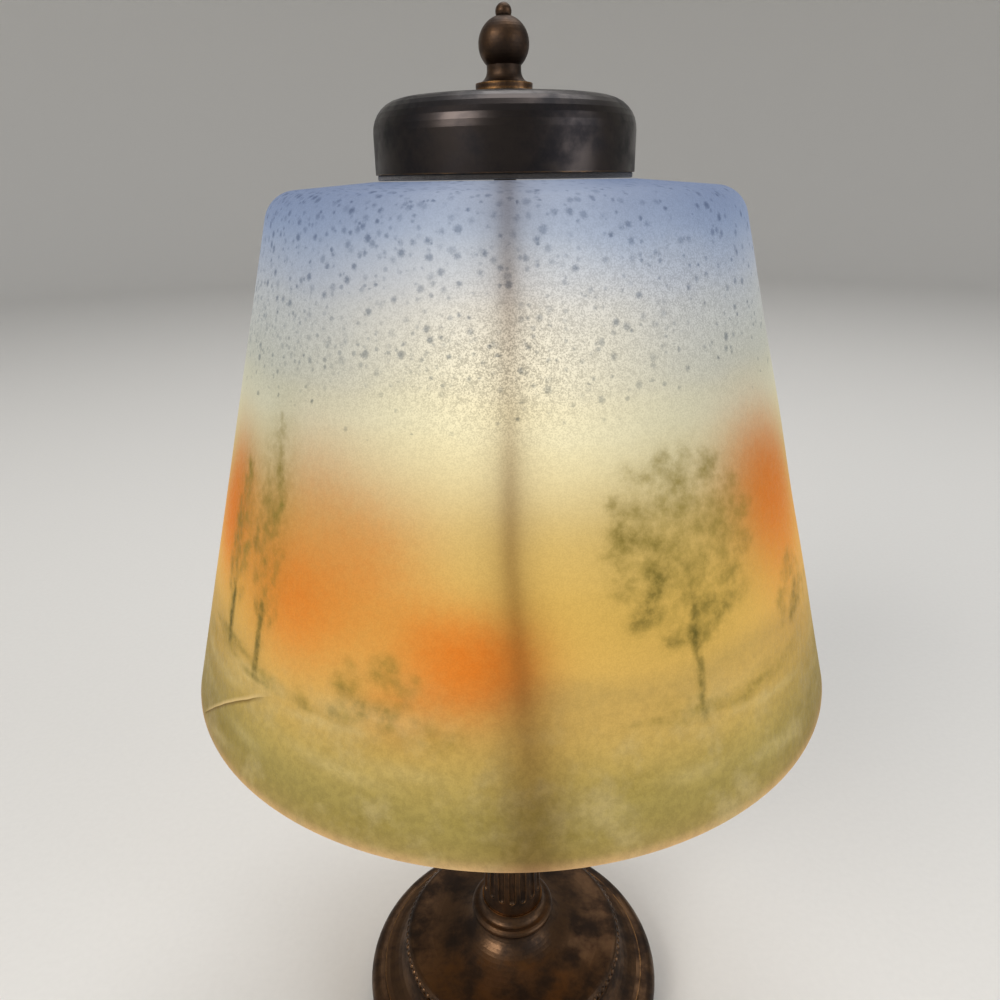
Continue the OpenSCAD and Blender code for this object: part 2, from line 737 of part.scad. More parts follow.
// Socket shell: a drawn tube with two beads, a rolled edge and a slot for the switch's shaft
module socket_shell() {
    bead_w = 0.7;
    bead_h = 1.6;
    roll_r = 1;
    length = socket_h - shell_foot;
    bead_z = length - 12;
    bead_pitch = 5;
    color("goldenrod") translate([0, 0, socket_z + shell_foot]) difference() {
        turned(concat(
            [[shell_bore_r, 0], [shell_r, 0]],
            arc([shell_r, bead_z], bead_w, bead_h, -90, 90),
            arc([shell_r, bead_z + bead_pitch], bead_w, bead_h, -90, 90),
            arc([shell_r - 0.2, length - roll_r], roll_r, roll_r, -90, 90),
            [[shell_bore_r, length]]
        ));
        shaft_slot(body_foot + switch_h - shell_foot);
    }
}

// A slot in a tube's +X side, open at its lower end, round at the switch's axis
module shaft_slot(axis_h) {
    flat = shaft_slot_r - 0.05;
    translate([0, 0, axis_h]) along_x(shaft_slot_r, 2 * shell_r);
    translate([0, -flat, -over]) cube([2 * shell_r, 2 * flat, axis_h + over]);
}

// Fibre liner between shell and live parts
module socket_liner() {
    from = shell_foot + 1;
    color("tan") translate([0, 0, socket_z + from]) difference() {
        ring(liner_r, liner_bore_r, socket_h - from - 2.5);
        shaft_slot(body_foot + switch_h - from);
    }
}

// Porcelain body with the switch's bearing, a well for the bulb's tip and two terminal recesses
module socket_body() {
    well_r = thread_r - 2.5;
    recess_w = 8;
    recess_h = terminal_h + 4;
    color("ivory") translate([0, 0, socket_z + body_foot]) difference() {
        cylinder(r = body_r, h = body_h, $fn = round_fn);
        translate([0, 0, body_h - well_depth]) cylinder(r = well_r, h = well_depth + over, $fn = round_fn);
        translate([0, 0, switch_h]) along_x(shaft_r + turn, body_r + over);
        for (side = [-1, 1]) {
            translate([-recess_w / 2, side * body_r - terminal_recess, -over])
                cube([recess_w, 2 * terminal_recess, recess_h + over]);
            terminal_place(side) translate([0, 0, -terminal_l - over])
                cylinder(r = terminal_r + slip, h = terminal_l + 2 * over, $fn = fine_fn);
        }
    }
}

// Places children on a terminal recess's floor, looking outwards
module terminal_place(side)
    translate([0, side * (body_r - terminal_recess), terminal_h]) rotate([side * -90, 0, 0]) children();

// Threaded shell that takes the bulb's base, on a flange that rests on the body
module screw_shell() {
    from = 1;
    foot_t = 0.5;
    flange_r = thread_r - 1.5;
    length = socket_h - body_top - 3.2;
    phase = bulb_z + base_foot - socket_z - body_top - from;
    wall = moved(ridges(thread_bore_r, length - 2 * from, phase), [0, from]);
    color("goldenrod") translate([0, 0, socket_z + body_top]) turned(concat(
        moved(wall, [thread_t, 0]),
        backwards(wall),
        [[flange_r, foot_t], [flange_r, 0], [thread_bore_r + thread_t, 0]]
    ));
}

// Sprung contact under the bulb's tip
module centre_contact() {
    button_r = 3;
    leaf_l = 8;
    leaf_w = 4;
    leaf_t = 0.8;
    color("goldenrod") translate([0, 0, socket_z + body_top - well_depth]) union() {
        cylinder(r = button_r, h = contact_h, $fn = round_fn);
        translate([-leaf_l, -leaf_w / 2, 0]) cube([leaf_l, leaf_w, leaf_t]);
    }
}

// Two slotted terminal screws in the body's recesses
module terminal_screws() {
    head_r = 3.2;
    head_h = 1.8;
    slot_w = 0.8;
    color("silver") translate([0, 0, socket_z + body_foot]) for (side = [-1, 1]) terminal_place(side)
        difference() {
            union() {
                cylinder(r = head_r, h = head_h, $fn = fine_fn);
                translate([0, 0, -terminal_l]) cylinder(r = terminal_r, h = terminal_l + over, $fn = fine_fn);
            }
            translate([-head_r, -slot_w / 2, head_h - slot_w]) cube([2 * head_r, slot_w, slot_w + over]);
        }
}

// Leads: in behind the bushing, down to the felt's level, up the pipe and out to a terminal each
module lead_wires() {
    cord_z = foot_z + cord_h;
    end_y = body_r - 1.8;
    dip_y = foot_r - 20;
    dip_l = 6;
    color("olive") for (side = [-1, 1]) translate([side * lead_x, 0, 0]) wire_sweep(rounded([
        [bush_seat_y - bush_l - 3, cord_z, 0],
        [dip_y, cord_z, lead_bend_r],
        [dip_y - dip_l, lead_low_z, lead_bend_r],
        [0, lead_low_z, lead_bend_r],
        [0, lead_turn_z, lead_bend_r],
        [side * end_y, lead_turn_z, lead_bend_r],
        [side * end_y, socket_z + body_foot + terminal_h - 3.4, 0]
    ], 15), lead_r, lead_sides);
}

// Switch shaft, in the body's bearing
module switch_shaft()
    color("goldenrod") translate([0.4, 0, switch_z]) along_x(shaft_r, key_x + key_bore_l - 0.9);

// Key: a paddle with round corners on a hub
module switch_key() {
    corner_r = key_w / 4;
    paddle_x = 4;
    ends = [paddle_x + corner_r, key_l - corner_r];
    half = key_w / 2 - corner_r;
    color("black") translate([key_x, 0, switch_z]) difference() {
        union() {
            along_x(key_hub_r, key_hub_l);
            rotate([90, 0, 0]) translate([0, 0, -key_t / 2]) linear_extrude(key_t) polygon(concat(
                arc([ends[1], half], corner_r, corner_r, 0, 90),
                arc([ends[0], half], corner_r, corner_r, 90, 180),
                arc([ends[0], -half], corner_r, corner_r, 180, 270),
                arc([ends[1], -half], corner_r, corner_r, 270, 360)
            ));
        }
        translate([-over, 0, 0]) along_x(shaft_r + 0.05, key_bore_l + over);
    }
}

// Outline of the bulb's globe and neck, at an inset from its outer face, from the top down to the neck's end
function bulb_outline(inset) =
    let (
        globe_r = globe_d / 2 - inset,
        end_r = bulb_neck_r - inset,
        meet = -42,
        tangent_r = globe_r * cos(meet),
        neck_z = globe_z + globe_r * sin(meet) - (tangent_r - end_r) / tan(-meet)
    )
    concat(
        arc([0, globe_z], globe_r, globe_r, 90, meet, 3 * arc_n),
        [[end_r + 1.2, neck_z + 1.6], [end_r + 0.3, neck_z - 0.4], [end_r, neck_z - 2.4]],
        [[end_r, mount_foot - 1]]
    );

// Frosted envelope
module bulb_glass()
    color("whitesmoke") translate([0, 0, bulb_z])
        turned(concat(bulb_outline(0), backwards(bulb_outline(bulb_wall))));

// Threaded brass base, drawn in at its foot to hold the insulator
module bulb_base() {
    root_r = thread_r - thread_depth / 2;
    lip_r = base_neck_r + seat_gap;
    ridge = ridges(thread_r, base_h - 1);
    color("goldenrod") translate([0, 0, bulb_z + base_foot]) turned(concat(
        [[lip_r, -0.6]],
        ridge,
        [[thread_r, base_h], [thread_r - base_t, base_h]],
        backwards([for (p = ridge) if (p[1] > base_t) p - [base_t, 0]]),
        [[root_r - base_t, base_t], [lip_r, base_t - 0.6]]
    ));
}

// Black glass insulator that closes the base
module bulb_insulator() {
    top = base_foot + 0.6;
    color("black") translate([0, 0, bulb_z]) turned([
        [tip_bore_r, tip_h], [tip_r, tip_h], [base_neck_r, base_foot - 0.7],
        [base_neck_r, top], [tip_bore_r, top]
    ]);
}

// Contact button in the middle of the insulator
module bulb_contact()
    color("silver") translate([0, 0, bulb_z]) union() {
        cylinder(r1 = tip_r - 1.8, r2 = tip_r - 0.2, h = tip_h - turn, $fn = round_fn);
        cylinder(r = tip_bore_r - turn, h = base_foot, $fn = round_fn);
    }

// Glass mount in the neck, with the two wires that hold the filament
module bulb_mount() {
    stem_r = 4;
    flare_r = bulb_neck_r - bulb_wall - slip;
    color("lightcyan") translate([0, 0, bulb_z]) union() {
        turned([
            [0, mount_foot], [flare_r, mount_foot], [flare_r, mount_foot + 1], [stem_r, mount_foot + 5],
            [stem_r - 1, mount_top - 6], [1.4, mount_top], [0, mount_top]
        ]);
        for (side = [-1, 1]) translate([side * support_x, 0, support_foot])
            rotate([0, side * support_lean, 0]) cylinder(r = support_r, h = support_l, $fn = fine_fn);
    }
}

// Filament: a fine coil drawn as a low arch between the two wires
module filament() {
    arch_r = (filament_half * filament_half + filament_rise * filament_rise) / (2 * filament_rise);
    half = asin(filament_half / arch_r);
    color("dimgray") translate([0, 0, bulb_z + filament_h + filament_rise - arch_r]) rotate([90, 0, 0])
        rotate(90 - half) rotate_extrude(angle = 2 * half, $fn = round_fn)
            translate([arch_r, 0]) circle(r = filament_r, $fn = fine_fn);
}

felt_pad();
foot();
ballast();
foot_washer();
foot_nut();
cord_bushing();
lamp_pipe();
stem_collar();
column();
column_cup();
neck_ring();
harp_saddle();
harp();
sleeve_front();
sleeve_back();
harp_stud();
shade_rest();
rest_gasket();
shade_glass();
cap_gasket();
heat_cap();
finial();
socket_cap();
cap_setscrew();
socket_shell();
socket_liner();
socket_body();
screw_shell();
centre_contact();
terminal_screws();
lead_wires();
switch_shaft();
switch_key();
bulb_glass();
bulb_base();
bulb_insulator();
bulb_contact();
bulb_mount();
filament();
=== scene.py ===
"""Looks of a small table lamp with a reverse painted glass shade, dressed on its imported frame."""
import logging
import math
from dataclasses import dataclass
from enum import Enum
from functools import cache
from typing import ClassVar

import bmesh
import bpy
import numpy as np
from mathutils import Matrix, Vector


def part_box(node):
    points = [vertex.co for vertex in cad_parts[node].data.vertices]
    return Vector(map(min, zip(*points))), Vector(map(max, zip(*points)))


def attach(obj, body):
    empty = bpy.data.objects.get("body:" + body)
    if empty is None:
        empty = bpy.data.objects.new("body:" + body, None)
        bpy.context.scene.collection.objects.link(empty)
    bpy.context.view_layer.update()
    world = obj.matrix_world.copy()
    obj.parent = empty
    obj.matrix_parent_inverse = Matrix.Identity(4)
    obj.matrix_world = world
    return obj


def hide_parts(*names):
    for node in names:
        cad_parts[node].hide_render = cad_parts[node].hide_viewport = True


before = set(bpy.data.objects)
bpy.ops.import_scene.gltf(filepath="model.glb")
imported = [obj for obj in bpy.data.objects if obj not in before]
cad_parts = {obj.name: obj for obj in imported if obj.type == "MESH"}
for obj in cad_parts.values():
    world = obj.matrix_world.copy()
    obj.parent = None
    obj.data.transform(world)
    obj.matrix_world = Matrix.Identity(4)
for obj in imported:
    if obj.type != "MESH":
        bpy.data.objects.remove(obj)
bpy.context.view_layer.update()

log = logging.getLogger("lamp")

MM = 0.001
TAU = 2 * math.pi
QUARTER = math.pi / 2
NEAR_QUARTER = 1.57
WELD = 0.001 * MM
OCCLUSION_SAMPLES = 6
SHADER_TREE = "ShaderNodeTree"
SHAPE_TREE = "GeometryNodeTree"

Colour = tuple[float, float, float]
Outline = list[tuple[float, float]]
Points = list[tuple[float, float, float]]
Mesh = bpy.types.Mesh
Node = bpy.types.Node
Port = bpy.types.NodeSocket
Ports = bpy.types.bpy_prop_collection
Sockets = dict[str, str]
Tree = bpy.types.NodeTree


class Body(str, Enum):
    """The frame's bodies that new pieces ride on."""

    STAND = "stand"
    SHADE = "shade"
    BULB = "bulb"


class Slot(str, Enum):
    """Names of the record's material slots, which new pieces are passed with."""

    BRONZE = "bronze"
    BRASS = "brass"
    FELT = "felt"
    FELT_RING = "felt_ring"
    PAINTED_GLASS = "painted_glass"
    CLOTH_WIRE = "cloth_wire"
    TUNGSTEN = "tungsten"


class Working(Enum):
    """How a metal was worked, which sets the run of its marks."""

    CAST = "cast"
    SPUN = "spun"
    DRAWN = "drawn"


def display(red: int, green: int, blue: int) -> Colour:
    """Turns a colour as a screen shows it into the linear values that shaders use.

    Args:
        red, green, blue: the colour, 0 to 255.

    Returns:
        The linear colour.
    """
    def linear(value: int) -> float:
        """One channel's linear value."""
        share = value / 255
        return share / 12.92 if share <= 0.04045 else ((share + 0.055) / 1.055) ** 2.4
    return linear(red), linear(green), linear(blue)


def opaque(colour: Colour) -> tuple[float, float, float, float]:
    """A colour with full alpha, as sockets take it."""
    return (*colour, 1.0)


def arc(centre: tuple[float, float], radius: float, start: float, end: float, steps: int) -> Outline:
    """Points of an arc of a profile, both ends included; angles are in radians."""
    angles = np.linspace(start, end, steps + 1)
    return [(centre[0] + radius * math.cos(a), centre[1] + radius * math.sin(a)) for a in angles]


def run(start: tuple[float, float], end: tuple[float, float], steps: int) -> Outline:
    """Points of a straight stretch of a profile, without its two ends."""
    shares = np.linspace(0, 1, steps + 1)[1:-1]
    return [(start[0] + (end[0] - start[0]) * t, start[1] + (end[1] - start[1]) * t) for t in shares]


def climb(value: np.ndarray, start: float, length: float) -> np.ndarray:
    """How far values are along a length from its start, 0 to 1; a length below zero runs down."""
    return np.clip((value - start) / length, 0, 1)


def hump(value: np.ndarray, middle: float, width: float) -> np.ndarray:
    """A soft hump round a middle, 1 at its top."""
    return np.exp(-((value - middle) / width) ** 2)


class Graph:
    """Adds nodes to one node tree and links them."""

    # Where a Mix node of colours has its inputs and its output
    MIX_FACTOR, MIX_FIRST, MIX_SECOND, MIX_COLOUR = 0, 6, 7, 2

    def __init__(self, tree: Tree) -> None:
        """Keeps the tree."""
        self.tree = tree

    def feed(self, port: Port, value: object) -> None:
        """Links an input to an output, or sets its value.

        Args:
            port: the input.
            value: the output, or a plain value.
        """
        if isinstance(value, Port):
            self.tree.links.new(value, port)
        else:
            port.default_value = value

    def fill(self, node: Node, **inputs: object) -> None:
        """Feeds a node's inputs by name, with _ for each space."""
        for name, value in inputs.items():
            self.feed(node.inputs[name.replace("_", " ")], value)

    def node(self, kind: str, *inputs: object, named: dict[str, object] | None = None,
             **settings: object) -> Node:
        """Adds a node.

        Args:
            kind: its type.
            inputs: values or outputs for its inputs in order.
            named: values or outputs for inputs by name.
            settings: its properties.

        Returns:
            The node.
        """
        made = self.tree.nodes.new(kind)
        for name, value in settings.items():
            setattr(made, name, value)
        for key, value in [*enumerate(inputs), *(named or {}).items()]:
            self.feed(made.inputs[key], value)
        return made

    def math(self, operation: str, *values: object, clamp: bool = False) -> Port:
        """A Math node's output."""
        return self.node("ShaderNodeMath", *values, operation=operation, use_clamp=clamp).outputs[0]

    def times(self, first: object, second: object, clamp: bool = False) -> Port:
        """The product of two values."""
        return self.math("MULTIPLY", first, second, clamp=clamp)

    def plus(self, first: object, second: object, clamp: bool = False) -> Port:
        """The sum of two values."""
        return self.math("ADD", first, second, clamp=clamp)

    def minus(self, first: object, second: object, clamp: bool = False) -> Port:
        """The first value less the second."""
        return self.math("SUBTRACT", first, second, clamp=clamp)

    def over(self, first: object, second: object) -> Port:
        """The first value divided by the second."""
        return self.math("DIVIDE", first, second)

    def between(self, value: object, low: float, high: float, to_low: float = 0.0,
                to_high: float = 1.0) -> Port:
        """A value eased from one range to another and kept inside it."""
        return self.node("ShaderNodeMapRange", value, low, high, to_low, to_high,
                         interpolation_type="SMOOTHSTEP").outputs[0]

    def mix(self, factor: object, first: object, second: object, blend: str = "MIX") -> Port:
        """Mixes two colours.

        Args:
            factor: the second one's share.
            first, second: the colours, or outputs that give them.
            blend: the way of mixing.

        Returns:
            The mixed colour.
        """
        made = self.node("ShaderNodeMix", data_type="RGBA", blend_type=blend)
        self.feed(made.inputs[self.MIX_FACTOR], factor)
        for index, value in ((self.MIX_FIRST, first), (self.MIX_SECOND, second)):
            self.feed(made.inputs[index], opaque(value) if isinstance(value, tuple) else value)
        return made.outputs[self.MIX_COLOUR]

    def filtered(self, factor: object, colour: Port, tint: Colour) -> Port:
        """A colour seen through a tint, as far as a factor says."""
        return self.mix(factor, colour, self.mix(1.0, colour, tint, "MULTIPLY"))

    def noise(self, place: Port, size: float, detail: float = 3.0, rough: float = 0.5) -> Port:
        """Noise whose features are about a size across."""
        named = {"Vector": place, "Scale": 1 / size, "Detail": detail, "Roughness": rough}
        return self.node("ShaderNodeTexNoise", named=named).outputs[0]

    def ramp(self, factor: Port, stops: list[tuple[float, Colour]]) -> Port:
        """A colour ramp with eased stops.

        Args:
            factor: the place on the ramp.
            stops: places from low to high, with their colours.

        Returns:
            The colour.
        """
        made = self.node("ShaderNodeValToRGB", factor)
        ramp = made.color_ramp
        ramp.interpolation = "CARDINAL"
        for place, _ in stops[len(ramp.elements):]:
            ramp.elements.new(place)
        for (place, colour), stop in zip(stops, ramp.elements):
            stop.position = place
            stop.color = opaque(colour)
        return made.outputs["Color"]

    def mask(self, name: str) -> Port:
        """A mask that the mesh carries at its points."""
        return self.node("ShaderNodeAttribute", attribute_name=name).outputs["Fac"]

    def place(self) -> Port:
        """Places on the object, in metres."""
        return self.node("ShaderNodeTexCoord").outputs["Object"]

    def parts(self, place: Port) -> Ports:
        """The X, Y and Z of places."""
        return self.node("ShaderNodeSeparateXYZ", place).outputs

    def drawn_out(self, place: Port, up: float) -> Port:
        """Places scaled along Z, which draws a pattern out or squeezes it."""
        return self.node("ShaderNodeMapping", place, named={"Scale": (1.0, 1.0, up)}).outputs[0]

    def crowding(self, reach: object, inside: bool = False) -> Port:
        """How much of the piece's own surface stands close to each point.

        Args:
            reach: how far off it counts.
            inside: whether to look behind the surface, and not before it.

        Returns:
            The share, 0 to 1.
        """
        around = self.node("ShaderNodeAmbientOcclusion", named={"Distance": reach}, samples=OCCLUSION_SAMPLES,
                           inside=inside, only_local=True)
        return self.minus(1.0, around.outputs["AO"])

    def group(self, tree: Tree, **inputs: object) -> Ports:
        """Places a node group; an input's name has _ for each space.

        Args:
            tree: the group.
            inputs: its inputs.

        Returns:
            Its outputs.
        """
        made = self.node("ShaderNodeGroup", node_tree=tree)
        self.fill(made, **inputs)
        return made.outputs

    def bump(self, height: Port, distance: float) -> Port:
        """A normal that a height disturbs."""
        return self.node("ShaderNodeBump", named={"Height": height, "Distance": distance}).outputs[0]


class Surface(Graph):
    """The graph of one material, with its shader."""

    def __init__(self, material: bpy.types.Material) -> None:
        """Starts the material's nodes.

        Args:
            material: the material.
        """
        material.use_nodes = True
        super().__init__(material.node_tree)
        self.shader = material.node_tree.nodes["Principled BSDF"]

    def show(self, **inputs: object) -> None:
        """Feeds the shader's inputs by name, with _ for each space."""
        self.fill(self.shader, **inputs)


def new_tree(name: str, kind: str, inputs: Sockets, outputs: Sockets) -> tuple[Graph, Ports, Ports]:
    """Starts a node group with named sockets.

    Args:
        name: the group's name.
        kind: its tree type.
        inputs, outputs: the sockets' names, with their types.

    Returns:
        A graph of the tree, what is given to it and what it gives.
    """
    tree = bpy.data.node_groups.new(name, kind)
    for way, sockets in (("INPUT", inputs), ("OUTPUT", outputs)):
        for label, socket in sockets.items():
            tree.interface.new_socket(name=label, in_out=way, socket_type="NodeSocket" + socket)
    graph = Graph(tree)
    return graph, graph.node("NodeGroupInput").outputs, graph.node("NodeGroupOutput").inputs


class Effects:
    """Shader node groups that several finishes share, each built at its first use."""

    WEAR_PATCH = 5 * MM
    GRIME_PATCH = 3 * MM
    CAST_GRAIN = 1.1 * MM
    CAST_SWELL = 6 * MM
    TOOL_LINE = 0.35 * MM
    DRAWN_SCALE = 0.04

    @classmethod
    @cache
    def edge_wear(cls) -> Tree:
        """A mask of rubbed edges: where little solid lies behind the surface.

        Returns:
            The group.
        """
        sockets = {"Place": "Vector", "Width": "Float", "Amount": "Float"}
        g, given, result = new_tree("Rubbed edges", SHADER_TREE, sockets, {"Mask": "Float"})
        edge = g.between(g.crowding(given["Width"], inside=True), 0.14, 0.55)
        patchy = g.between(g.noise(given["Place"], cls.WEAR_PATCH, 6, 0.65), 0.32, 0.62)
        g.feed(result["Mask"], g.times(g.times(edge, patchy), given["Amount"], clamp=True))
        return g.tree

    @classmethod
    @cache
    def hollow_grime_and_shade(cls) -> Tree:
        """A mask of grime and painted shade in hollows and corners: darker where the piece's own surface
        crowds close.

        Returns:
            The group.
        """
        sockets = {"Place": "Vector", "Reach": "Float"}
        g, given, result = new_tree("Grime and painted shade in hollows", SHADER_TREE, sockets, {"Mask": "Float"})
        hollow = g.between(g.crowding(given["Reach"]), 0.15, 0.7)
        patchy = g.between(g.noise(given["Place"], cls.GRIME_PATCH, 5, 0.6), 0.25, 0.7, 0.45, 1.0)
        g.feed(result["Mask"], g.times(hollow, patchy))
        return g.tree

    @classmethod
    @cache
    def tool_marks(cls, working: Working) -> Tree:
        """Fine marks that a way of working leaves, as a height.

        Args:
            working: the way of working.

        Returns:
            The group.
        """
        name = f"Marks of {working.value} metal"
        g, given, result = new_tree(name, SHADER_TREE, {"Place": "Vector"}, {"Height": "Float"})
        place = given["Place"]
        if working is Working.CAST:
            height = g.plus(g.noise(place, cls.CAST_GRAIN, 5, 0.6), g.noise(place, cls.CAST_SWELL, 2))
        else:
            if working is Working.SPUN:
                x, y, z = g.parts(place)
                flat = g.node("ShaderNodeCombineXYZ", x, y).outputs[0]
                radius = g.node("ShaderNodeVectorMath", flat, operation="LENGTH").outputs["Value"]
                lines = g.node("ShaderNodeCombineXYZ", radius, 0.0, z).outputs[0]
            else:
                lines = g.drawn_out(place, cls.DRAWN_SCALE)
            height = g.noise(lines, cls.TOOL_LINE, 3, 0.7)
        g.feed(result["Height"], height)
        return g.tree


@dataclass(frozen=True)
class Finish:
    """A surface finish, which becomes one material."""

    name: str

    def dress(self, g: Surface) -> None:
        """Builds the finish's nodes into its material's graph."""
        raise NotImplementedError

    @cache
    def material(self) -> bpy.types.Material:
        """The finish's material, built at its first use.

        Returns:
            The material.
        """
        made = bpy.data.materials.new(self.name)
        self.dress(Surface(made))
        return made


@dataclass(frozen=True)
class Metal(Finish):
    """Metal with tarnish, tool marks, rubbed edges, and grime and painted shade in its hollows."""

    colour: Colour
    tarnish: Colour
    rubbed: Colour
    grime_and_shade_colour: Colour = (0.02, 0.018, 0.015)
    working: Working = Working.SPUN
    smooth: float = 0.25
    rough: float = 0.5
    mottle: float = 9 * MM
    wear_width: float = 0.7 * MM
    wear: float = 1.0
    marks: float = 0.02 * MM
    grime_and_shade_reach: float = 4 * MM

    def dress(self, g: Surface) -> None:
        """Builds the metal.

        Args:
            g: its material's graph.
        """
        place = g.place()
        cloud = g.between(g.noise(place, self.mottle, 6, 0.62), 0.36, 0.66)
        worn = g.group(Effects.edge_wear(), Place=place, Width=self.wear_width, Amount=self.wear)["Mask"]
        grime_and_shade = g.group(Effects.hollow_grime_and_shade(), Place=place, Reach=self.grime_and_shade_reach)["Mask"]
        marks = g.group(Effects.tool_marks(self.working), Place=place)["Height"]
        colour = g.mix(cloud, self.colour, self.tarnish)
        # Hollows darken towards the grime colour: grime, and painted shade where the surface crowds close.
        colour = g.mix(g.times(grime_and_shade, 0.8), colour, self.grime_and_shade_colour)
        colour = g.mix(worn, colour, self.rubbed)
        rough = g.between(g.plus(cloud, g.times(marks, 0.3)), 0.1, 1.25, self.smooth, self.rough)
        rough = g.plus(rough, g.times(grime_and_shade, 0.2))
        rough = g.minus(rough, g.times(worn, 0.1), clamp=True)
        g.show(Base_Color=colour, Roughness=rough, Normal=g.bump(marks, self.marks), Metallic=1.0)


@dataclass(frozen=True)
class Specks:
    """Specks of one kind: their mask, the size of their cells, the share that holds one, and their looks."""

    mask: str
    cell: float
    share: float
    largest: float
    faint: float
    strong: float


@dataclass(frozen=True)
class Paint:
    """The painted glass as it shows when the lamp is lit, with the bulb's glow, its dimming and the harp's
    shadow painted in: colours from rim to top, and sizes of its marks.
    """

    rim_edge: Colour = display(204, 166, 114)
    shore: Colour = display(162, 140, 80)
    meadow: Colour = display(176, 153, 84)
    field: Colour = display(211, 172, 92)
    horizon: Colour = display(222, 182, 96)
    low_sky: Colour = display(226, 198, 132)
    sky_in_bulb_glow: Colour = display(246, 232, 186)
    cream_sky_in_bulb_glow: Colour = display(241, 230, 196)
    pale_sky: Colour = display(226, 221, 209)
    blue_sky: Colour = display(190, 197, 208)
    high_sky_in_shade: Colour = display(162, 172, 192)
    sunset: Colour = display(226, 120, 30)
    leaf: Colour = display(146, 126, 52)
    leaf_dark: Colour = display(60, 58, 24)
    hill: Colour = display(176, 148, 84)
    pale: Colour = display(226, 206, 146)
    haze: Colour = display(190, 170, 118)
    speck: Colour = (0.36, 0.40, 0.47)
    # Tints of painted shade: away dims the glow away from the bulb's bright spots, and shadow is the harp's
    # painted shadow.
    away: Colour = (0.54, 0.60, 0.72)
    shadow: Colour = (0.16, 0.06, 0.0)
    drift_size: float = 40 * MM
    haze_size: float = 15 * MM
    lump_size: float = 2.6 * MM
    brush_size: float = 2.2 * MM
    clump_size: float = 1.3 * MM
    ragged_size: float = 0.5 * MM
    grain_size: float = 0.36 * MM
    specks: tuple[Specks, ...] = (
        Specks("specks", 2.8 * MM, 1.2, 0.37, 0.35, 0.8), Specks("specks", 2.0 * MM, 0.8, 0.3, 0.35, 0.8),
        Specks("stipple", 1.7 * MM, 1.0, 0.4, 0.2, 0.55),
    )

    def stops(self) -> list[tuple[float, Colour]]:
        """The ramp from rim to top.

        Returns:
            Shares of the height, with their colours.
        """
        # The stops carry painted light: the bulb's glow brightens the sky round two thirds of the height, and
        # the shade rest's painted shadow darkens the very top.
        return [
            (0.0, self.rim_edge), (0.009, self.rim_edge), (0.028, self.shore), (0.12, self.meadow),
            (0.24, self.field), (0.42, self.horizon), (0.54, self.low_sky), (0.65, self.sky_in_bulb_glow),
            (0.72, self.cream_sky_in_bulb_glow), (0.84, self.pale_sky), (0.92, self.blue_sky), (0.985, self.high_sky_in_shade),
        ]

    @cache
    def picture_and_glow(self) -> Tree:
        """Builds the painting as a node group at its first use.

        Returns:
            The group, which gives the painting's colour with the lamp's glow and shade painted in, and the
            grain of the frosting.
        """
        taken, shown = {"Place": "Vector", "Rise": "Float"}, {"Colour": "Color", "Grain": "Float"}
        g, given, result = new_tree("Painting and painted glow on the glass", SHADER_TREE, taken, shown)
        place, rise = given["Place"], given["Rise"]
        drift = g.times(g.minus(g.noise(place, self.drift_size, 3), 0.5), 0.06)
        level = g.plus(rise, g.times(drift, g.between(rise, 0.02, 0.1)))
        colour = g.ramp(level, self.stops())
        brushed = g.between(g.noise(place, self.brush_size, 4, 0.6), 0.3, 0.7, -0.16, 0.16)
        layers = (("hill", self.hill, 0.5), ("sunset", self.sunset, 0.2), ("pale", self.pale, 0.6),
                  ("leaf", self.leaf, 1.0), ("leaf_dark", self.leaf_dark, 1.0))
        for mask, shade, edge in layers:
            amount = g.mask(mask)
            ragged = g.times(brushed, g.times(edge, g.between(amount, 0.0, 0.35)))
            colour = g.mix(g.plus(amount, ragged, clamp=True), colour, shade)
        ground = g.between(rise, 0.12, 0.34, 1.0, 0.0)
        hazy = g.between(g.noise(place, self.haze_size, 4, 0.6), 0.48, 0.72, 0.0, 0.5)
        colour = g.mix(g.times(ground, hazy), colour, self.haze)
        colour = g.filtered(self.spots(g, place), colour, self.speck)
        # Painted shade: the glow dimming away from the bulb's bright spots, and the harp's shadow.
        colour = g.filtered(g.mask("away"), colour, self.away)
        colour = g.filtered(g.mask("shadow"), colour, self.shadow)
        # Painted glints: the frosting's grain sparkles in the bulb's light, most where the sand mask is
        # strong.
        grain = g.noise(place, self.grain_size, 2, 0.6)
        clumps = g.noise(place, self.clump_size, 2, 0.6)
        tooth = g.plus(g.times(grain, 0.7), g.times(clumps, 0.3))
        swing = g.plus(g.times(g.mask("sand"), 0.27), 0.05)
        sparkle = g.times(g.between(tooth, 0.38, 0.62, -1.0, 1.0), swing)
        lumps = g.between(g.noise(place, self.lump_size, 3, 0.55), 0.35, 0.65, -0.06, 0.06)
        light = g.plus(g.plus(sparkle, g.times(lumps, ground)), 1.0)
        lit = g.node("ShaderNodeVectorMath", colour, named={"Scale": light}, operation="SCALE")
        g.feed(result["Colour"], lit.outputs[0])
        g.feed(result["Grain"], grain)
        return g.tree

    def spots(self, g: Graph, place: Port) -> Port:
        """Dark specks in the sky, as many as the mesh's masks allow.

        Args:
            g: the graph that they are added to.
            place: places on the object.

        Returns:
            The specks' mask.
        """
        total = None
        ragged = g.between(g.noise(place, self.ragged_size, 2, 0.6), 0.25, 0.75, -0.07, 0.07)
        for kind in self.specks:
            cells = g.node("ShaderNodeTexVoronoi", named={"Vector": place, "Scale": 1 / kind.cell})
            draw = g.node("ShaderNodeSeparateColor", cells.outputs["Color"]).outputs
            there = g.math("LESS_THAN", draw[0], g.times(g.mask(kind.mask), kind.share))
            radius = g.between(draw[1], 0.0, 1.0, 0.72 * kind.largest, kind.largest)
            inside = g.minus(radius, g.plus(cells.outputs["Distance"], ragged))
            spot = g.times(g.between(inside, -0.11, 0.22), there)
            spot = g.times(spot, g.between(draw[2], 0.0, 1.0, kind.faint, kind.strong))
            total = spot if total is None else g.math("MAXIMUM", total, spot)
        return total


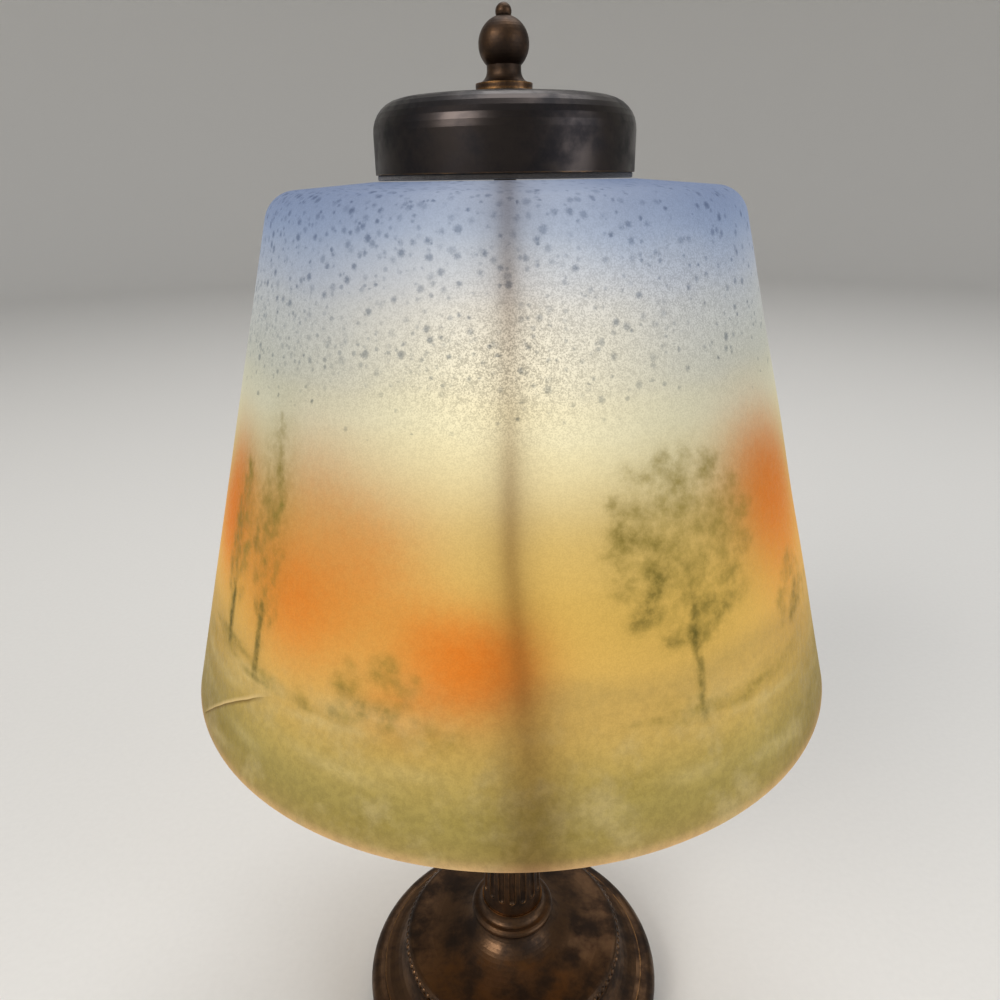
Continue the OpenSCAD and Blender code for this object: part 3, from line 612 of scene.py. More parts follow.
@dataclass(frozen=True)
class Crack:
    """A hairline crack low in the glass: its turn from the front, its way up, its dark line with painted
    shade fading below it, and its lip, a painted highlight where the crack's edge catches the light.
    """

    start: float = math.radians(-64.6)
    reach: float = math.radians(25.8)
    climb: float = 28.6 * MM
    bow: float = 0.32
    wander: float = 0.8 * MM
    wander_size: float = 9 * MM
    width: float = 1.3 * MM
    edge: float = 0.15 * MM
    lip: float = 1.5 * MM
    appears: tuple[float, float] = (0.08, 0.16)
    fades: tuple[float, float] = (0.76, 1.0)
    dark: Colour = display(108, 82, 36)
    bright: Colour = display(226, 194, 134)

    def masks(self, g: Graph, place: Port, level: Port) -> tuple[Port, Port]:
        """The crack's dark line, fading below as painted shade, and the painted highlight of its lip above
        it.

        Args:
            g: the graph that they are added to.
            place: places on the object.
            level: the height above the rim.

        Returns:
            The two masks.
        """
        x, y, _ = g.parts(place)
        turn = g.math("ARCTAN2", x, g.times(y, -1.0))
        share = g.over(g.minus(turn, self.start), self.reach)
        bowed = g.times(g.times(share, g.minus(1.0, share)), self.bow)
        wander = g.times(g.noise(place, self.wander_size, 1), self.wander)
        off = g.minus(level, g.plus(g.times(g.plus(share, bowed), self.climb), wander))
        there = g.times(g.between(share, *self.appears), g.between(share, *self.fades, 1.0, 0.0))
        dark = g.times(g.between(off, -self.width, 0.0), g.between(off, 0.0, self.edge, 1.0, 0.0))
        lip = g.times(g.between(off, 0.0, self.edge), g.between(off, self.edge, self.lip, 1.0, 0.0))
        lip = g.times(lip, g.between(share, 0.1, 0.5, 0.35, 1.0))
        return g.times(dark, there), g.times(lip, there)


@dataclass(frozen=True)
class PaintedGlass(Finish):
    """Lit glass: frosted and pebbled outside, painted inside; it glows with the bulb's light painted in as
    emission.
    """

    rim_level: float
    height: float
    outside: bool
    glow: float
    paint: Paint = Paint()
    crack: Crack = Crack()
    body: float = 0.14
    specular: float = 0.06
    pebble_size: float = 1.3 * MM
    pebble_depth: float = 0.16 * MM
    stroke_size: float = 3 * MM
    stroke_depth: float = 0.12 * MM

    def dress(self, g: Surface) -> None:
        """Builds the glass.

        Args:
            g: its material's graph.
        """
        place = g.place()
        level = g.minus(g.parts(place)[2], self.rim_level)
        picture_and_glow = g.group(self.paint.picture_and_glow(), Place=place, Rise=g.over(level, self.height))
        line, lip = self.crack.masks(g, place, level)
        colour = g.mix(g.times(line, 0.75), picture_and_glow["Colour"], self.crack.dark)
        # The crack's dark line with its painted shade, then the painted highlight along its lip.
        colour = g.mix(g.times(lip, 0.7), colour, self.crack.bright)
        # Emission paints the bulb's light shining through the glass, with its bright spots and the harp's
        # shadow.
        g.show(Emission_Color=colour, Base_Color=g.mix(self.body, (0.0, 0.0, 0.0), colour),
               Emission_Strength=self.glow, Specular_IOR_Level=self.specular)
        if self.outside:
            pebbles = g.noise(place, self.pebble_size, 2, 0.55)
            height = g.plus(g.times(picture_and_glow["Grain"], 0.35), pebbles)
            height = g.minus(height, g.times(line, 1.5))
            g.show(Roughness=g.between(pebbles, 0.3, 0.7, 0.44, 0.6),
                   Normal=g.bump(height, self.pebble_depth))
        else:
            height = g.noise(g.drawn_out(place, 4.0), self.stroke_size, 4, 0.65)
            g.show(Roughness=g.between(height, 0.3, 0.7, 0.55, 0.75),
                   Normal=g.bump(height, self.stroke_depth))


@dataclass(frozen=True)
class Felt(Finish):
    """Pressed wool felt: short tangled fibres and a faint mottle."""

    colour: Colour
    fleck: Colour
    swirl_size: float = 1.5 * MM
    swirl_push: float = 1.2 * MM
    fibre_size: float = 0.22 * MM
    tuft_size: float = 4 * MM
    depth: float = 0.25 * MM

    def dress(self, g: Surface) -> None:
        """Builds the felt.

        Args:
            g: its material's graph.
        """
        place = g.place()
        swirl = g.node("ShaderNodeTexNoise", named={"Vector": place, "Scale": 1 / self.swirl_size})
        pushed = g.node("ShaderNodeVectorMath", swirl.outputs["Color"], named={"Scale": self.swirl_push},
                        operation="SCALE")
        bent = g.node("ShaderNodeVectorMath", place, pushed.outputs[0], operation="ADD")
        fibres = g.noise(bent.outputs[0], self.fibre_size, 4, 0.75)
        tufts = g.noise(place, self.tuft_size, 4, 0.6)
        colour = g.mix(g.between(fibres, 0.45, 0.75), self.colour, self.fleck)
        colour = g.mix(g.between(tufts, 0.35, 0.7, 0.0, 0.55), colour, tuple(0.6 * c for c in self.colour))
        g.show(Base_Color=colour, Roughness=g.between(tufts, 0.3, 0.7, 0.86, 1.0),
               Normal=g.bump(fibres, self.depth), Sheen_Weight=0.5)


@dataclass(frozen=True)
class Ceramic(Finish):
    """Glazed porcelain with fine stained crazing, and dust and painted shade in its hollows."""

    colour: Colour = display(232, 226, 210)
    stain: Colour = display(176, 160, 130)
    craze_size: float = 4 * MM
    dust_and_shade_reach: float = 5 * MM
    wave_size: float = 3 * MM
    depth: float = 0.03 * MM

    def dress(self, g: Surface) -> None:
        """Builds the porcelain.

        Args:
            g: its material's graph.
        """
        place = g.place()
        cracks = g.node("ShaderNodeTexVoronoi", named={"Vector": place, "Scale": 1 / self.craze_size},
                        feature="DISTANCE_TO_EDGE").outputs["Distance"]
        craze = g.between(cracks, 0.0, 0.03, 0.55, 0.0)
        grime_and_shade = g.group(Effects.hollow_grime_and_shade(), Place=place, Reach=self.dust_and_shade_reach)["Mask"]
        # Stained crazing, and darkening in hollows that is part dust and part painted shade.
        craze_dust_and_shade = g.math("MAXIMUM", craze, g.times(grime_and_shade, 0.8))
        g.show(Base_Color=g.mix(craze_dust_and_shade, self.colour, self.stain),
               Roughness=g.between(craze_dust_and_shade, 0.0, 1.0, 0.16, 0.5),
               Normal=g.bump(g.noise(place, self.wave_size, 2), self.depth))


@dataclass(frozen=True)
class Resin(Finish):
    """Moulded dark resin with a faint swirl and a handled polish."""

    colour: Colour = (0.016, 0.011, 0.009)
    swirl: Colour = (0.05, 0.028, 0.016)
    rubbed: Colour = (0.12, 0.08, 0.05)
    flow_size: float = 7 * MM
    wear_width: float = 0.6 * MM
    wear: float = 0.7
    polish_size: float = 2 * MM
    grain_size: float = 0.6 * MM
    depth: float = 0.01 * MM

    def dress(self, g: Surface) -> None:
        """Builds the resin.

        Args:
            g: its material's graph.
        """
        place = g.place()
        flow = g.noise(place, self.flow_size, 5, 0.7)
        worn = g.group(Effects.edge_wear(), Place=place, Width=self.wear_width, Amount=self.wear)["Mask"]
        colour = g.mix(g.between(flow, 0.45, 0.7), self.colour, self.swirl)
        g.show(Base_Color=g.mix(g.times(worn, 0.5), colour, self.rubbed),
               Roughness=g.between(g.noise(place, self.polish_size, 4), 0.3, 0.7, 0.2, 0.38),
               Normal=g.bump(g.noise(place, self.grain_size, 2), self.depth))


@dataclass(frozen=True)
class Streaked(Finish):
    """A stuff with streaks of a second tint all through it, as pressed fibre and drawn glass have."""

    colour: Colour
    streak: Colour
    size: float = 2.5 * MM
    detail: float = 3
    coarse: float = 0.5
    polish: tuple[float, float] = (0.04, 0.14)
    depth: float = 0.03 * MM
    up: float = 1.0
    clear: float = 0.0

    def dress(self, g: Surface) -> None:
        """Builds the stuff.

        Args:
            g: its material's graph.
        """
        streaks = g.noise(g.drawn_out(g.place(), self.up), self.size, self.detail, self.coarse)
        g.show(Base_Color=g.mix(g.between(streaks, 0.35, 0.65), self.colour, self.streak),
               Roughness=g.between(streaks, 0.3, 0.7, *self.polish), Normal=g.bump(streaks, self.depth),
               Transmission_Weight=self.clear)


@dataclass(frozen=True)
class Braid(Finish):
    """Cotton braid over a wire: two crossing runs of thread."""

    light: Colour = display(150, 122, 66)
    dark: Colour = display(78, 56, 30)
    thread: float = 0.7 * MM
    lean: tuple[float, float] = (0.78, 0.6)
    fuzz_size: float = 0.2 * MM
    depth: float = 0.12 * MM

    def dress(self, g: Surface) -> None:
        """Builds the braid.

        Args:
            g: its material's graph.
        """
        place = g.place()
        runs = []
        for way in (1.0, -1.0):
            lean = (way * self.lean[0], 0.0, way * self.lean[1])
            turned_place = g.node("ShaderNodeMapping", place, named={"Rotation": lean}).outputs[0]
            named = {"Vector": turned_place, "Scale": 1 / (TAU * self.thread / 3)}
            runs.append(g.node("ShaderNodeTexWave", named=named).outputs["Fac"])
        weave = g.math("MAXIMUM", *runs)
        fuzz = g.noise(place, self.fuzz_size, 3, 0.7)
        colour = g.mix(g.between(runs[0], 0.3, 0.8), self.dark, self.light)
        g.show(Base_Color=g.mix(g.between(fuzz, 0.4, 0.8, 0.0, 0.4), colour, self.dark),
               Roughness=g.between(fuzz, 0.2, 0.8, 0.8, 1.0),
               Normal=g.bump(g.plus(weave, g.times(fuzz, 0.3)), self.depth), Sheen_Weight=0.3)


@dataclass(frozen=True)
class LitFrost(Finish):
    """The bulb's frosted glass, lit, brighter round its middle."""

    level: float
    reach: float
    colour: Colour = display(255, 232, 190)
    warm: Colour = display(255, 196, 120)
    dim: Colour = (0.2, 0.1, 0.04)
    glow: float = 3.2
    frost_size: float = 0.5 * MM
    depth: float = 0.02 * MM

    def dress(self, g: Surface) -> None:
        """Builds the frosted glass.

        Args:
            g: its material's graph.
        """
        place = g.place()
        off = g.over(g.math("ABSOLUTE", g.minus(g.parts(place)[2], self.level)), self.reach)
        frost = g.noise(place, self.frost_size, 3)
        fade = g.plus(g.between(off, 0.15, 1.3), g.times(frost, 0.08), clamp=True)
        colour = g.mix(fade, self.colour, self.warm)
        g.show(Base_Color=colour, Emission_Color=g.mix(g.times(fade, 0.6), colour, self.dim),
               Emission_Strength=self.glow, Roughness=g.between(frost, 0.3, 0.7, 0.4, 0.55),
               Normal=g.bump(frost, self.depth))


@dataclass(frozen=True)
class HotWire(Finish):
    """Glowing tungsten, hotter in places."""

    hot: Colour = (1.0, 0.55, 0.2)
    cooler: Colour = (1.0, 0.38, 0.1)
    metal: Colour = (0.12, 0.12, 0.12)
    dark_metal: Colour = (0.06, 0.06, 0.065)
    glow: float = 6.0
    heat_size: float = 1.5 * MM

    def dress(self, g: Surface) -> None:
        """Builds the wire.

        Args:
            g: its material's graph.
        """
        heat = g.between(g.noise(g.place(), self.heat_size, 3), 0.3, 0.7)
        g.show(Emission_Color=g.mix(heat, self.cooler, self.hot), Emission_Strength=self.glow,
               Base_Color=g.mix(heat, self.dark_metal, self.metal),
               Roughness=g.between(heat, 0.0, 1.0, 0.35, 0.5), Metallic=1.0)


BRONZE = Metal("Patinated bronze", display(96, 72, 52), display(54, 44, 38), display(186, 136, 82),
               working=Working.CAST, smooth=0.30, rough=0.52, mottle=12 * MM, wear_width=0.9 * MM, wear=0.9,
               marks=0.05 * MM)
CAP_BRONZE = Metal("Spun dark bronze", display(66, 60, 58), display(42, 40, 42), display(150, 116, 76),
                   smooth=0.28, rough=0.46, mottle=10 * MM, wear_width=0.5 * MM, wear=0.6, marks=0.012 * MM)
BRASS = Metal("Aged brass", display(196, 156, 84), display(140, 104, 56), display(226, 190, 116),
              smooth=0.22, rough=0.44, wear_width=0.5 * MM, marks=0.012 * MM)
WIRE_BRASS = Metal("Drawn brass wire", display(188, 150, 84), display(134, 100, 56), display(222, 188, 118),
                   working=Working.DRAWN, smooth=0.24, rough=0.46, wear_width=0.4 * MM, marks=0.012 * MM)
STEEL = Metal("Dull steel", display(150, 150, 152), display(104, 100, 96), display(196, 196, 198),
              smooth=0.26, mottle=4 * MM, wear_width=0.4 * MM, marks=0.01 * MM)
IRON = Metal("Rough cast iron", display(58, 54, 52), display(84, 60, 46), display(110, 106, 102),
             working=Working.CAST, smooth=0.5, rough=0.8, mottle=8 * MM, marks=0.2 * MM)
FELT = Felt("Green felt", display(52, 78, 56), display(86, 112, 84))
RING_FELT = Felt("Dark felt", display(46, 40, 35), display(66, 57, 48))
PORCELAIN = Ceramic("Glazed porcelain")
RESIN = Resin("Dark moulded resin")
FIBRE = Streaked("Pressed fibre", display(124, 82, 56), display(90, 56, 38), size=0.8 * MM, detail=4,
                 coarse=0.7, polish=(0.6, 0.8), depth=0.05 * MM, up=0.15)
BRAID = Braid("Braided cotton")
CLEAR_GLASS = Streaked("Clear drawn glass", (0.86, 0.9, 0.9), (0.731, 0.765, 0.765), clear=1.0)
DARK_GLASS = Streaked("Dark glass", (0.012, 0.012, 0.016), (0.0102, 0.0102, 0.0136))
HOT_WIRE = HotWire("Glowing tungsten")


class Shapes:
    """Geometry Nodes trees that make the new pieces' forms, each built at its first use."""

    RESULT = {"Geometry": "Geometry"}
    ROUND_BEAD = {"Segments": 10, "Rings": 6, "Radius": 1.0}

    @staticmethod
    def finish(g: Graph, geometry: Port, given: Ports, result: Ports) -> Tree:
        """Ends a tree: smooth faces, real instances and the material.

        Args:
            g: the tree's graph.
            geometry: the form.
            given, result: what is given to the tree and what it gives.

        Returns:
            The tree.
        """
        smooth = g.node("GeometryNodeSetShadeSmooth", geometry)
        real = g.node("GeometryNodeRealizeInstances", smooth.outputs[0])
        dressed = g.node("GeometryNodeSetMaterial", real.outputs[0], named={"Material": given["Material"]})
        g.feed(result["Geometry"], dressed.outputs[0])
        return g.tree

    @classmethod
    @cache
    def turned(cls) -> Tree:
        """Turns an outline of edges round the Z axis.

        Returns:
            The tree.
        """
        sockets = {"Outline": "Geometry", "Steps": "Int", "Material": "Material"}
        g, given, result = new_tree("Turned form", SHAPE_TREE, sockets, cls.RESULT)
        outline, steps = given["Outline"], given["Steps"]
        rows = g.node("GeometryNodeAttributeDomainSize", outline, component="MESH").outputs["Point Count"]
        grid = g.node("GeometryNodeMeshGrid", named={"Vertices X": g.plus(steps, 1), "Vertices Y": rows})
        index = g.node("GeometryNodeInputIndex").outputs[0]
        column = g.math("FLOOR", g.over(g.plus(index, 0.5), rows))
        row = g.minus(index, g.times(column, rows))
        position = g.node("GeometryNodeInputPosition").outputs[0]
        sample = g.node("GeometryNodeSampleIndex", data_type="FLOAT_VECTOR", domain="POINT")
        g.fill(sample, Geometry=outline, Value=position, Index=row)
        radius, _, height = g.parts(sample.outputs[0])
        angle = g.times(g.over(column, steps), TAU)
        across = g.times(radius, g.math("COSINE", angle))
        along = g.times(radius, g.math("SINE", angle))
        place = g.node("ShaderNodeCombineXYZ", across, along, height)
        moved = g.node("GeometryNodeSetPosition", grid.outputs["Mesh"], named={"Position": place.outputs[0]})
        closed = g.node("GeometryNodeMergeByDistance", moved.outputs[0], named={"Distance": WELD})
        return cls.finish(g, closed.outputs[0], given, result)

    @classmethod
    @cache
    def swept(cls) -> Tree:
        """Sweeps a round wire along a line of edges, whose corners are rounded by their bend radius.

        Returns:
            The tree.
        """
        sockets = {"Path": "Geometry", "Radius": "Float", "Sides": "Int", "Arc Steps": "Int",
                   "Material": "Material"}
        g, given, result = new_tree("Swept wire", SHAPE_TREE, sockets, cls.RESULT)
        line = g.node("GeometryNodeMeshToCurve", given["Path"])
        bend = g.node("GeometryNodeInputNamedAttribute", "bend", data_type="FLOAT").outputs[0]
        named = {"Count": given["Arc Steps"], "Radius": bend, "Limit Radius": True}
        eased = g.node("GeometryNodeFilletCurve", line.outputs[0], named=named, mode="POLY")
        named = {"Resolution": given["Sides"], "Radius": given["Radius"]}
        section = g.node("GeometryNodeCurvePrimitiveCircle", named=named)
        wire = g.node("GeometryNodeCurveToMesh", eased.outputs[0], section.outputs[0],
                      named={"Fill Caps": True})
        return cls.finish(g, wire.outputs[0], given, result)

    @classmethod
    @cache
    def beaded(cls) -> Tree:
        """Sets a ring of beads round the Z axis.

        Returns:
            The tree.
        """
        sockets = {"Start": "Geometry", "Count": "Int", "Ring Radius": "Float", "Level": "Float",
                   "Bead": "Vector", "Material": "Material"}
        g, given, result = new_tree("Ring of beads", SHAPE_TREE, sockets, cls.RESULT)
        named = {"Vertices": given["Count"], "Radius": given["Ring Radius"]}
        ring = g.node("GeometryNodeMeshCircle", named=named)
        lift = g.node("ShaderNodeCombineXYZ", 0.0, 0.0, given["Level"])
        points = g.node("GeometryNodeSetPosition", ring.outputs[0], named={"Offset": lift.outputs[0]})
        bead = g.node("GeometryNodeMeshUVSphere", named=cls.ROUND_BEAD)
        position = g.node("GeometryNodeInputPosition").outputs[0]
        outward = g.node("FunctionNodeAlignRotationToVector", named={"Vector": position}, axis="X",
                         pivot_axis="Z")
        named = {"Instance": bead.outputs[0], "Scale": given["Bead"], "Rotation": outward.outputs[0]}
        placed = g.node("GeometryNodeInstanceOnPoints", points.outputs[0], named=named)
        return cls.finish(g, placed.outputs[0], given, result)


def linked(name: str, data: bpy.types.ID) -> bpy.types.Object:
    """Adds an object to the scene.

    Args:
        name: its name.
        data: its mesh, light or camera.

    Returns:
        The object.
    """
    made = bpy.data.objects.new(name, data)
    bpy.context.scene.collection.objects.link(made)
    return made


def kept(work: bmesh.types.BMesh, name: str) -> Mesh:
    """Ends work on a mesh.

    Args:
        work: the work.
        name: the mesh's name.

    Returns:
        The mesh.
    """
    made = bpy.data.meshes.new(name)
    work.to_mesh(made)
    work.free()
    return made


def shaped(name: str, tree: Tree, finish: Finish, points: Points, bends: list[float] | None = None,
           **inputs: object) -> Mesh:
    """Runs a Geometry Nodes tree on a line of points and keeps the result as a plain mesh.

    Args:
        name: the mesh's name.
        tree: the tree.
        finish: the mesh's finish.
        points: the line that goes in.
        bends: a bend radius for each point, if the tree rounds its corners.
        inputs: the tree's other inputs; a name has _ for each space.

    Returns:
        The mesh, with its doubles merged and its faces pointing outwards.
    """
    line = bpy.data.meshes.new(name + "_line")
    line.from_pydata(points, [(i, i + 1) for i in range(len(points) - 1)], [])
    if bends is not None:
        line.attributes.new("bend", "FLOAT", "POINT").data.foreach_set("value", bends)
    holder = linked(name + "_line", line)
    modifier = holder.modifiers.new("shape", "NODES")
    modifier.node_group = tree
    sockets = {s.name: s.identifier for s in tree.interface.items_tree if s.in_out == "INPUT"}
    for label, value in (*inputs.items(), ("Material", finish.material())):
        modifier[sockets[label.replace("_", " ")]] = value
    graph = bpy.context.evaluated_depsgraph_get()
    mesh = bpy.data.meshes.new_from_object(holder.evaluated_get(graph), depsgraph=graph)
    mesh.name = name
    mesh.materials.clear()
    mesh.materials.append(finish.material())
    mesh.polygons.foreach_set("material_index", [0] * len(mesh.polygons))
    bpy.data.objects.remove(holder)
    bpy.data.meshes.remove(line)
    work = bmesh.new()
    work.from_mesh(mesh)
    bmesh.ops.remove_doubles(work, verts=work.verts, dist=WELD)
    bmesh.ops.recalc_face_normals(work, faces=work.faces)
    work.to_mesh(mesh)
    work.free()
    return mesh


def turned(name: str, finish: Finish, outline: Outline, steps: int) -> Mesh:
    """A closed outline of radius and height, turned round the Z axis."""
    points = [(r, 0.0, z) for r, z in [*outline, outline[0]]]
    return shaped(name, Shapes.turned(), finish, points, Steps=steps)


def swept(name: str, finish: Finish, route: Points, bends: list[float], radius: float, sides: int,
          arc_steps: int) -> Mesh:
    """A round wire along a route, whose corners have bend radii."""
    return shaped(name, Shapes.swept(), finish, route, bends, Radius=radius, Sides=sides, Arc_Steps=arc_steps)


def beaded(name: str, finish: Finish, count: int, ring: float, level: float,
           bead: tuple[float, float, float]) -> Mesh:
    """A ring of beads round the Z axis; a bead's radii run outward, along the ring and up."""
    return shaped(name, Shapes.beaded(), finish, [(0.0, 0.0, 0.0)], Count=count, Ring_Radius=ring,
                  Level=level, Bead=bead)


def joined(name: str, meshes: list[Mesh]) -> Mesh:
    """Joins meshes of one material.

    Args:
        name: the new mesh's name.
        meshes: the meshes.

    Returns:
        The new mesh.
    """
    work = bmesh.new()
    for mesh in meshes:
        work.from_mesh(mesh)
    made = kept(work, name)
    made.materials.append(meshes[0].materials[0])
    return made


def piece(mesh: Mesh, body: Body, slot: Slot, *replaced: str) -> bpy.types.Object:
    """Adds a mesh to the object as a piece.

    Args:
        mesh: the finished mesh, in place.
        body: the body that it rides on.
        slot: the record's material slot; not used.
        replaced: the frame's nodes that it stands for.

    Returns:
        The piece.
    """
    made = linked(mesh.name, mesh)
    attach(made, body.value)
    if replaced:
        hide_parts(*replaced)
    log.info("piece %s on %s: %d faces, stands for %s", made.name, body.value, len(mesh.polygons),
             replaced or "nothing")
    return made


def dress_nodes(finish: Finish, *nodes: str) -> None:
    """Gives nodes of the frame a finish.

    Args:
        finish: the finish.
        nodes: the nodes' names.
    """
    for node in nodes:
        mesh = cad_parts[node].data
        mesh.materials.clear()
        mesh.materials.append(finish.material())
        log.info("node %s: %s", node, finish.name)


@dataclass(frozen=True)
class GlassPoints:
    """Points of the glass: their turn from the front in radians, height over the rim and radius."""

    turn: np.ndarray
    rise: np.ndarray
    radius: np.ndarray

    def apart(self, degrees: float) -> np.ndarray:
        """Turn away from a place on the glass, in radians, the short way round."""
        return (self.turn - math.radians(degrees) + math.pi) % TAU - math.pi

    def side(self) -> np.ndarray:
        """Turn away from the front or the back, in radians."""
        return np.minimum(np.abs(self.turn), math.pi - np.abs(self.turn))


@dataclass(frozen=True)
class Dab:
    """One dab of the brush: its place, its two radii, its lean, how strong it is and how dark."""

    across: float
    up: float
    long: float
    short: float
    lean: float
    strength: float
    dark: float = 0.0

    def cover(self, across: np.ndarray, up: np.ndarray) -> np.ndarray:
        """How strongly the dab covers points.

        Args:
            across, up: the points' places, counted from where the dab's own place is counted.

        Returns:
            Strengths, 0 to 1.
        """
        dx, dy = across - self.across, up - self.up
        a = (dx * math.cos(self.lean) + dy * math.sin(self.lean)) / self.long
        b = (dy * math.cos(self.lean) - dx * math.sin(self.lean)) / self.short
        return self.strength * np.exp(-np.power(a * a + b * b, 1.5))


@dataclass(frozen=True)
class Habit:
    """How a painted tree grows: the bare share of its height, and its leaf dabs.

    A dab's length is in millimetres, lean is how far it may lean in radians, slim is its width's share of
    its length, and faint and strong are how it covers.
    """

    bare: float
    dabs: int
    smallest: float
    largest: float
    lean: float
    slim: float = 0.62
    faint: float = 0.14
    strong: float = 0.42


class Crown(Enum):
    """Kinds of painted tree, with their habits."""

    ROUND = Habit(bare=0.26, dabs=110, smallest=1.6, largest=3.8, lean=0.9)
    SLENDER = Habit(bare=0.08, dabs=64, smallest=1.2, largest=2.4, lean=0.4)
    BUSH = Habit(bare=0.0, dabs=48, smallest=1.4, largest=2.9, lean=0.6, slim=0.7, strong=0.36)


@dataclass(frozen=True)
class PaintedTree:
    """A tree in the painting: its turn from the front in degrees, and its sizes in millimetres."""

    TRUNK_DABS: ClassVar[int] = 6
    GRASS_DABS: ClassVar[int] = 9
    turn: float
    foot: float
    height: float
    width: float
    crown: Crown

    def dabs(self, draw: np.random.Generator) -> list[Dab]:
        """Brush dabs of the tree, counted from its foot."""
        return self.bush(draw) if self.crown is Crown.BUSH else self.tall(draw)

    def bush(self, draw: np.random.Generator) -> list[Dab]:
        """Dabs of a bush: a low heap of leaves, darker inside.

        Args:
            draw: the random numbers.

        Returns:
            The dabs.
        """
        habit, w, h = self.crown.value, self.width * MM, self.height * MM
        found = []
        for _ in range(habit.dabs):
            x = draw.normal(0, 0.22)
            top = h * max(0.15, 1 - 3.4 * x * x) * draw.uniform(0.0, 0.9)
            size = draw.uniform(habit.smallest, habit.largest) * MM
            found.append(Dab(x * w, top, size, habit.slim * size, draw.uniform(-habit.lean, habit.lean),
                             draw.uniform(habit.faint, habit.strong),
                             draw.uniform(0.1, 0.6) if top < 0.4 * h else 0.1))
        return found

    def tall(self, draw: np.random.Generator) -> list[Dab]:
        """Dabs of a tree: a wash behind it, its trunk, its leaves and the grass at its foot.

        Args:
            draw: the random numbers.

        Returns:
            The dabs.
        """
        habit, w, h = self.crown.value, self.width * MM, self.height * MM
        rounded = self.crown is Crown.ROUND
        found = [Dab(0.0, 0.6 * h, 0.42 * h, 0.5 * w, NEAR_QUARTER, 0.34)]
        for step in np.linspace(0.0, habit.bare + 0.15, self.TRUNK_DABS):
            found.append(Dab(draw.uniform(-0.3, 0.3) * MM, step * h, 1.1 * MM, 3.4 * MM, 0.08, 0.5, 0.55))
        for _ in range(habit.dabs):
            angle, reach = draw.uniform(0, TAU), math.sqrt(draw.uniform(0, 1))
            up = 0.5 + 0.5 * reach * math.sin(angle)
            bulge = 0.5 if rounded else 0.5 * (1.1 - 0.75 * up)
            x = reach * math.cos(angle) * bulge * w
            size = draw.uniform(habit.smallest, habit.largest) * MM
            lean = (draw.uniform(-habit.lean, habit.lean) if rounded
                    else NEAR_QUARTER - habit.lean * math.copysign(1, x))
            shade = max(0.0, 0.75 - up - 0.6 * x / w) * draw.uniform(0.2, 1.0)
            found.append(Dab(x, h * (habit.bare + (1 - habit.bare) * up), size, habit.slim * size, lean,
                             draw.uniform(habit.faint, habit.strong), shade))
        for _ in range(self.GRASS_DABS):
            found.append(Dab(draw.normal(0.1, 0.35) * w, draw.uniform(-2.5, 0.6) * MM,
                             draw.uniform(4, 9) * MM, 0.9 * MM, draw.uniform(-0.1, 0.1),
                             draw.uniform(0.15, 0.4), draw.uniform(0, 0.3)))
        return found


